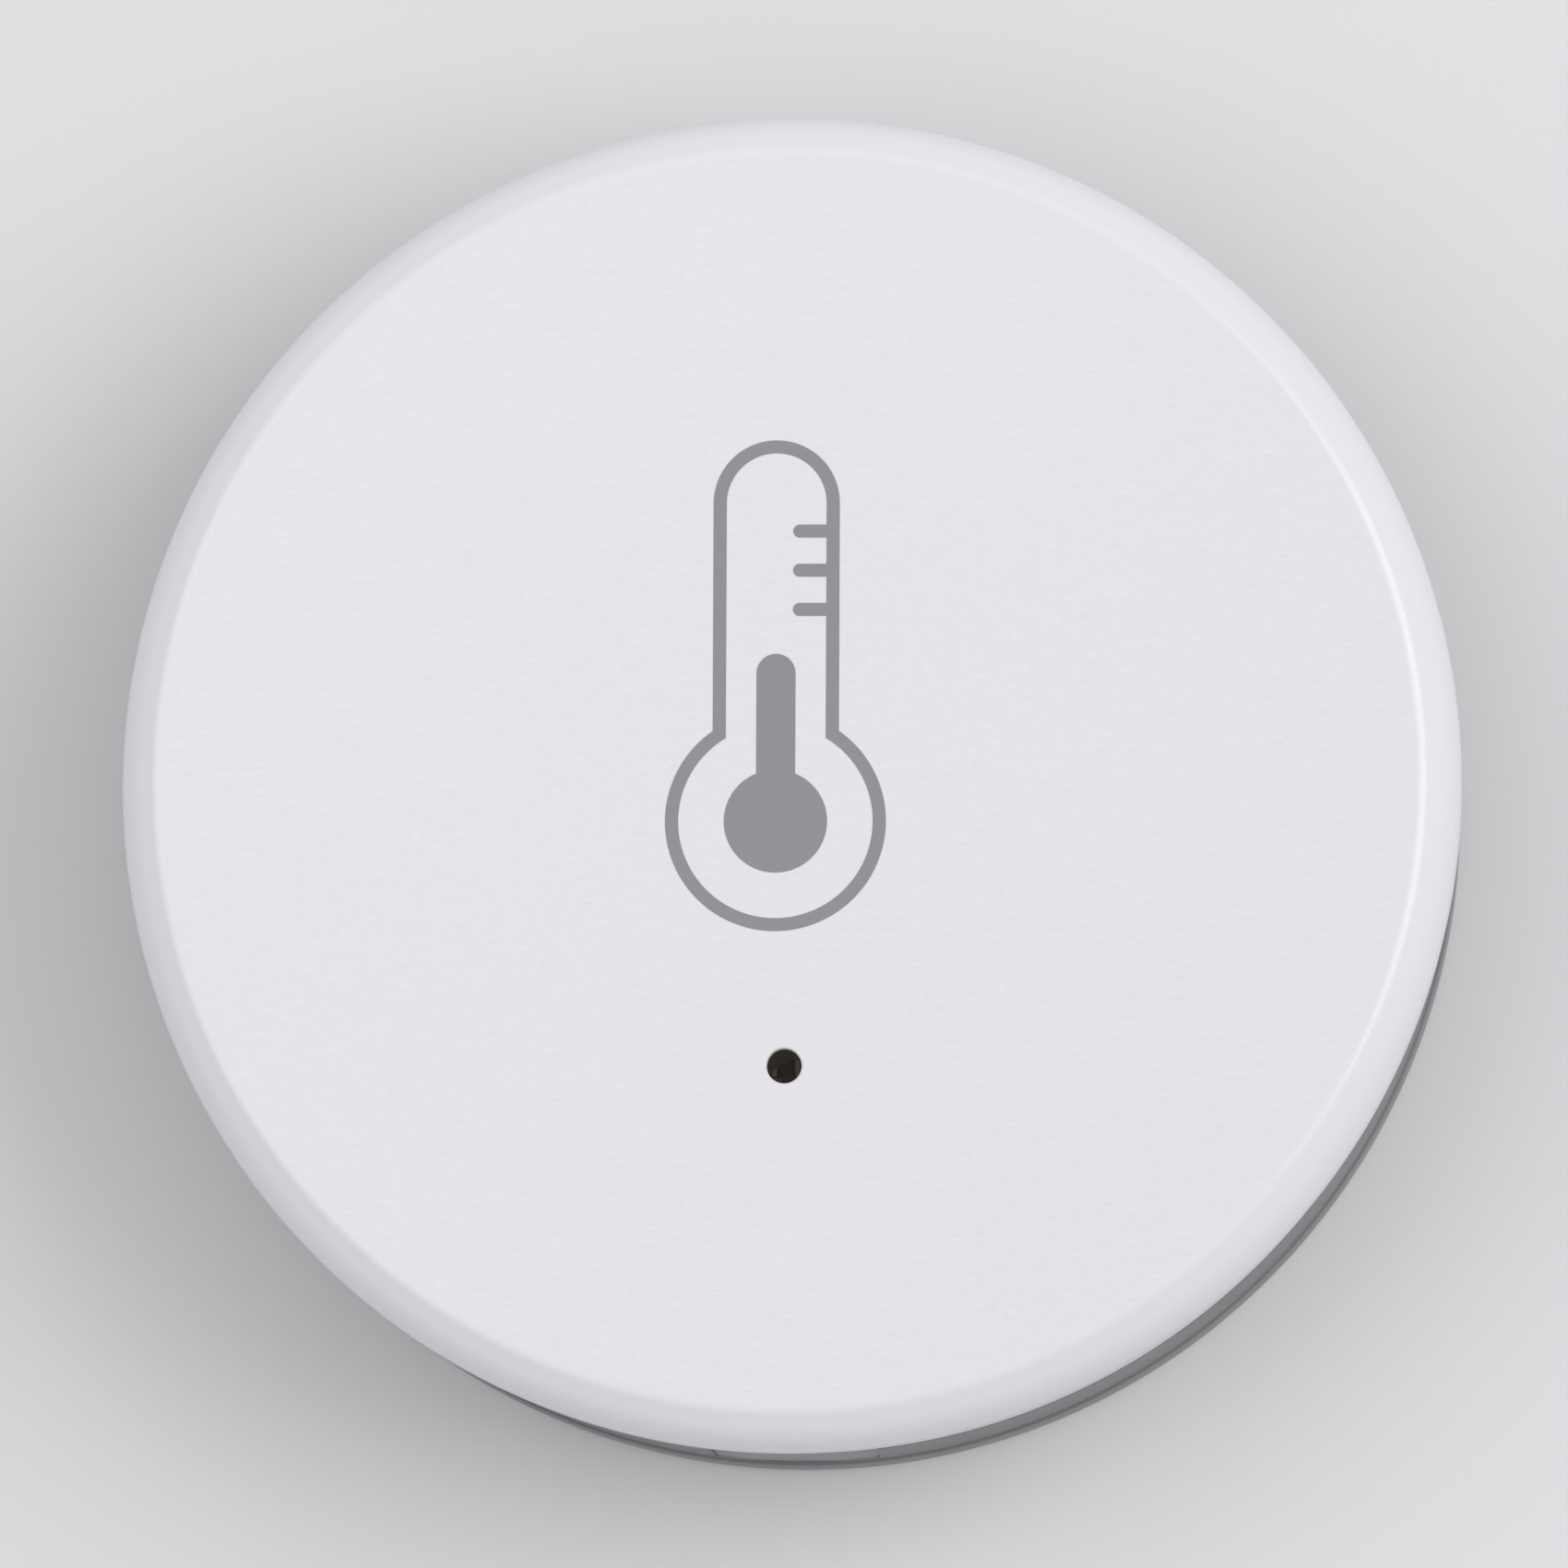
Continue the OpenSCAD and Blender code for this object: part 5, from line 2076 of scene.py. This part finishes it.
@dataclass
class HumidityChip:
    """The humidity chip: a small black case with an opening over the film that takes up moisture."""

    solder: Solder
    hole_d: float = 1.1
    hole_depth: float = 0.3
    flare: float = 0.06
    edge: float = 0.05
    pad_count: int = 4
    pad_w: float = 0.3
    pad_spread: float = 0.7

    def dress(self) -> None:
        """Builds the chip and its solder."""
        box = Extent.of("humidity_chip")
        case = Bench.block("humidity_case", box.size, box.foot, self.edge)
        radius, top = self.hole_d / 2, box.high.z
        hole = [(radius, top - self.hole_depth), (radius, top - self.flare)]
        hole += [(radius + self.flare, top), (radius + self.flare, top + OVER)]
        Bench.cut(case, Bench.lathe("hole", hole, box.foot.xy, steps=48))
        self.solder.rows(box, (0, 180), self.pad_count, self.pad_w, box.size.z / 4, self.pad_spread)
        finish = FilmWindow(tuple(box.foot.xy), radius, top - self.hole_depth).make()
        Bench.finish(case, Body.BASE, "humidity_black", finish, ["humidity_chip"])


@dataclass
class SupervisorChip:
    """The supervisor: a small case that slopes in above and below the plane of its three leads."""

    material: Material
    solder: Solder
    slope: float = 0.93
    edge: float = 0.03
    edge_angle: float = 8.0
    lead_h: float = 0.1

    def dress(self) -> None:
        """Builds the case and the solder at its leads."""
        box = Extent.of("supervisor_chip")
        half = box.size.z / 2
        case = Bench.block("supervisor_case", (box.size.x, box.size.y, half), box.foot + Vector((0, 0, half)))
        Bench.pick(case, Part.FACE, lambda place, normal: normal.z < -FACING)
        bpy.ops.mesh.extrude_region_move(TRANSFORM_OT_translate={"value": (0, 0, -half)})
        bpy.ops.transform.resize(value=(self.slope, self.slope, 1))
        Bench.done()
        Bench.draft(case, self.slope)
        Bench.ease(case, self.edge, angle=self.edge_angle)
        for lead in Extent.each("supervisor_leads"):
            side = 1 if lead.foot.y > box.foot.y else -1
            self.solder.joint(lead.at(0, side), 90 * side, lead.size.x, self.lead_h)
        Bench.finish(case, Body.BASE, "chip_black", self.material, ["supervisor_chip"])


@dataclass
class Screws:
    """The two screws of the board: pan heads with a cross recess."""

    head_h: float = 0.9
    under_r: float = 0.12
    cross_w: float = 0.36
    cross_l: float = 1.7
    cross_depth: float = 0.42
    cross_taper: float = 0.6
    cross_turn: float = 22.0
    point: float = 0.35

    def screw(self, box: Extent) -> Solid:
        """One screw in its place.

        Args:
            box: the screw's room.

        Returns:
            The screw.
        """
        head_r, shank_r, at = box.size.x / 2, box.size.x / 4, box.foot.xy
        low, top, head_z = box.low.z, box.high.z, box.high.z - self.head_h
        edge, round_r = self.under_r / 2, self.head_h / 2
        outline = [(shank_r - self.point, low), (shank_r, low + self.point), (shank_r, head_z)]
        outline += [(head_r - edge, head_z), (head_r, head_z + edge)]
        outline += arc((head_r - round_r, top - round_r), round_r, 0, 90, steps=10)
        screw = Bench.lathe("screw", outline, at, steps=64)
        for width, length in ((self.cross_l, self.cross_w), (self.cross_w, self.cross_l)):
            tool = Bench.block("cross", (width, length, 2 * OVER), (*at, top - self.cross_depth))
            Bench.draft(tool, self.cross_taper, side=-1)
            Bench.cut(screw, Bench.turn(tool, self.cross_turn, (*at, 0)))
        return screw

    def dress(self) -> None:
        """Builds both screws."""
        screws = [self.screw(box) for box in Extent.each("board_screws")]
        steel = Metal("screw_steel", tone(196, 197, 200), lines=(6, 6, 20)).make()
        Bench.finish(Bench.join("screws", screws), Body.BASE, "screw_steel", steel, ["board_screws"])


@dataclass
class CoinCell:
    """The coin cell: a can that is crimped round a gasket and a cap, with a plus pressed into its top."""

    layout: Layout
    skin: float = 0.25
    edge_r: float = 0.5
    crimp_w: float = 0.9
    crimp_h: float = 0.5
    cap_drop: float = 0.2
    gasket_w: float = 0.25
    round_r: float = 0.08
    plus_l: float = 5.0
    plus_w: float = 0.8
    plus_depth: float = 0.04
    ring_r: float = 8.9
    ring_w: float = 0.25
    steps: int = 192

    @property
    def at(self) -> Point:
        """Where the cell's axis stands."""
        return tuple(self.layout.cell.foot.xy)

    @property
    def cap_r(self) -> float:
        """Radius of the cap inside the gasket."""
        return self.layout.cell.high.x - self.crimp_w - self.gasket_w

    @property
    def cap_low(self) -> float:
        """Height of the cap's underside."""
        return self.layout.cell.low.z - self.cap_drop

    @property
    def cap_top(self) -> float:
        """Height of the upper end of the cap and the gasket, halfway up the whole cell."""
        return self.cap_low + (self.layout.cell.size.z + self.cap_drop) / 2

    def can(self) -> Solid:
        """Turns the can and presses a plus and a ring into its top.

        Returns:
            The can.
        """
        box, skin, round_r = self.layout.cell, self.skin, self.round_r
        radius, low, top = box.high.x, box.low.z, box.high.z
        corner, inner_r = (radius - self.edge_r, top - self.edge_r), radius - self.crimp_w
        outline = arc(corner, self.edge_r, 90, 0, steps=14)
        outline += [(radius, low + self.crimp_h + round_r), (radius - round_r / 2, low + self.crimp_h)]
        outline += [(inner_r + round_r, low + round_r / 2), (inner_r, low), (inner_r, low + skin)]
        outline += [(radius - skin, low + self.crimp_h + skin)]
        outline += arc(corner, self.edge_r - skin / 2, 0, 90, steps=8)
        can = Bench.lathe("cell_can_steel", outline, self.at, self.steps)
        foot, room = (*self.at, top - self.plus_depth), 2 * OVER
        plus = Bench.block("plus", (self.plus_l, self.plus_w, room), foot)
        Bench.fuse(plus, Bench.block("plus", (self.plus_w, self.plus_l, room), foot))
        groove = band(self.ring_r, self.ring_r + self.ring_w, top - self.plus_depth / 2, top + room)
        Bench.cut(can, plus, Bench.lathe("groove", groove, self.at, self.steps, ring=True))
        return can

    def gasket(self) -> Solid:
        """The gasket between the crimp and the cap.

        Returns:
            The ring.
        """
        box, skin, inner = self.layout.cell, self.skin, self.cap_r
        outer, under = inner + self.gasket_w, box.low.z - self.round_r / 2
        shoulder = box.high.x - skin - self.gasket_w
        outline = [(inner, under), (outer, under), (outer, box.low.z + 2 * skin)]
        outline += [(shoulder, box.low.z + self.crimp_h + 2 * skin), (shoulder, self.cap_top), (inner, self.cap_top)]
        return Bench.lathe("cell_gasket_ring", outline, self.at, self.steps, ring=True)

    def cap(self) -> Solid:
        """The cap below.

        Returns:
            The cap as a thin dish.
        """
        low, top, skin, radius = self.cap_low, self.cap_top, self.skin, self.cap_r
        bend, inner_bend = 2 * skin, 1.5 * skin
        outline = [(radius - bend, low)]
        outline += arc((radius - bend, low + bend), bend, -90, 0, steps=8)
        outline += [(radius, top), (radius - skin, top), (radius - skin, low + skin + inner_bend)]
        outline += arc((radius - skin - inner_bend, low + skin + inner_bend), inner_bend, 0, -90, steps=6)
        return Bench.lathe("cell_cap_steel", outline, self.at, self.steps)

    def dress(self) -> None:
        """Builds the cell's three pieces."""
        steel = TurnedMetal("cell_steel", tone(214, 212, 206), self.at)
        bright = TurnedMetal("cap_steel", tone(222, 221, 217), self.at, roughness=0.2)
        plastic = Moulding("gasket_plastic", tone(60, 62, 66), roughness=0.5)
        Bench.finish(self.can(), Body.CELL, steel.name, steel.make(), ["cell_can"])
        Bench.finish(self.gasket(), Body.CELL, plastic.name, plastic.make(), ["cell_gasket"])
        Bench.finish(self.cap(), Body.CELL, bright.name, bright.make(), ["cell_cap"])


@dataclass
class Electronics:
    """All parts on the board, with the solder that holds them."""

    layout: Layout

    def dress_chips(self, solder: Solder, tin: Material) -> None:
        """The radio, the sensor and the small parts round them.

        Args:
            solder: takes the joints of the parts.
            tin: material of their tinned ends.
        """
        black = Moulding("chip_black", tone(34, 34, 36), roughness=0.48, grain=12, relief=0.005).make()
        RadioChip(black, solder).dress()
        SupervisorChip(black, solder).dress()
        Crystal(solder).dress()
        HumidityChip(solder).dress()
        tank = Extent.of("reservoir_capacitor")
        case = BandedCase(tank.low.x, tank.high.x).make()
        tan = Fired("capacitor_tan", tone(176, 146, 106)).make()
        film = Fired("resistor_black", tone(26, 26, 30), roughness=0.3).make()
        blue = Fired("inductor_body", tone(92, 116, 138)).make()
        white = Fired("antenna_ceramic", tone(222, 222, 216), roughness=0.35, speck=0.08).make()
        ivory = Fired("diode_white", tone(228, 224, 208), speck=0.06).make()
        strap = {"along": 0, "cap_share": 0.14, "inset": 0.03, "strap_w": 0.7, "strap_h": 0.62, "top_share": 0.94}
        lamp_ends = {"along": 0, "cap_share": 0.17, "inset": 0.015, "strap_w": 0.9, "edge": 0.02}
        EndCapped("reservoir_capacitor", case, tin, solder, **strap).dress()
        EndCapped("chip_capacitors", tan, tin, solder).dress()
        EndCapped("chip_resistors", film, tin, solder, cap_share=0.2).dress()
        EndCapped("match_inductor", blue, tin, solder).dress()
        EndCapped("antenna", white, tin, solder, along=0, cap_share=0.12).dress()
        EndCapped("diode_base", ivory, tin, solder, **lamp_ends).dress()
        EasedPart("diode_lens", ClearEpoxy().make(), 0.03).dress()

    def dress_switch(self, solder: Solder) -> None:
        """The switch with its snap dome, metal lid and button.

        Args:
            solder: takes the joints of the switch.
        """
        moulding = Moulding("switch_black", tone(36, 36, 38), grain=12).make()
        lid = Metal("switch_metal", tone(198, 198, 196), roughness=0.28, lines=(2, 26, 2)).make()
        dome = Metal("dome_steel", tone(208, 208, 206), roughness=0.2, lines=8).make()
        button = Moulding("button_white", tone(224, 224, 220), roughness=0.38, grain=12, relief=0.004).make()
        EasedPart("switch_base", moulding, 0.05).dress()
        EasedPart("switch_lid", lid, 0.03).dress()
        EasedPart("switch_dome", dome, 0.01).dress()
        EasedPart("pairing_button", button, 0.05, Body.BUTTON, segments=3).dress()
        base = Extent.of("switch_base")
        solder.rows(base, (0, 180), count=2, width=0.6, height=base.size.z / 4, spread=0.62)

    def dress_holder(self) -> None:
        """The holder of the coin cell and its contacts."""
        moulding = Moulding("holder_black", tone(38, 38, 40), roughness=0.5, grain=6).make()
        strip = Metal("contact_steel", tone(206, 196, 172), roughness=0.24, lines=(3, 3, 22)).make()
        EasedPart("cell_holder", moulding, 0.08).dress()
        EasedPart("side_contacts", strip, 0.03).dress()
        EasedPart("lower_contact", strip, 0.03).dress()

    def dress(self) -> None:
        """Builds everything on the board."""
        tin = Metal("lead_tin", tone(206, 207, 208), lines=9, relief=0.006).make()
        solder = Solder(self.layout.board.high.z)
        self.dress_chips(solder, tin)
        self.dress_switch(solder)
        self.dress_holder()
        EasedPart("supervisor_leads", tin, 0.02).dress()
        solder.dress(tin)
        Tracks(self.layout.board.high.z).dress()
        BoardPrint(self.layout).dress()


def main() -> None:
    """Builds the camera, the studio and every piece."""
    logging.basicConfig(level=logging.INFO, format="%(message)s")
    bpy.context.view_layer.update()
    layout = Layout.measured()
    Camera().build()
    Studio().build()
    outside = (FrontCover(layout), ThermometerPrint(layout), RearHousing(layout))
    for part in (*outside, CircuitBoard(layout), Electronics(layout), Screws(), CoinCell(layout)):
        part.dress()
    Bench.clear()


if __name__ == "__main__":
    main()
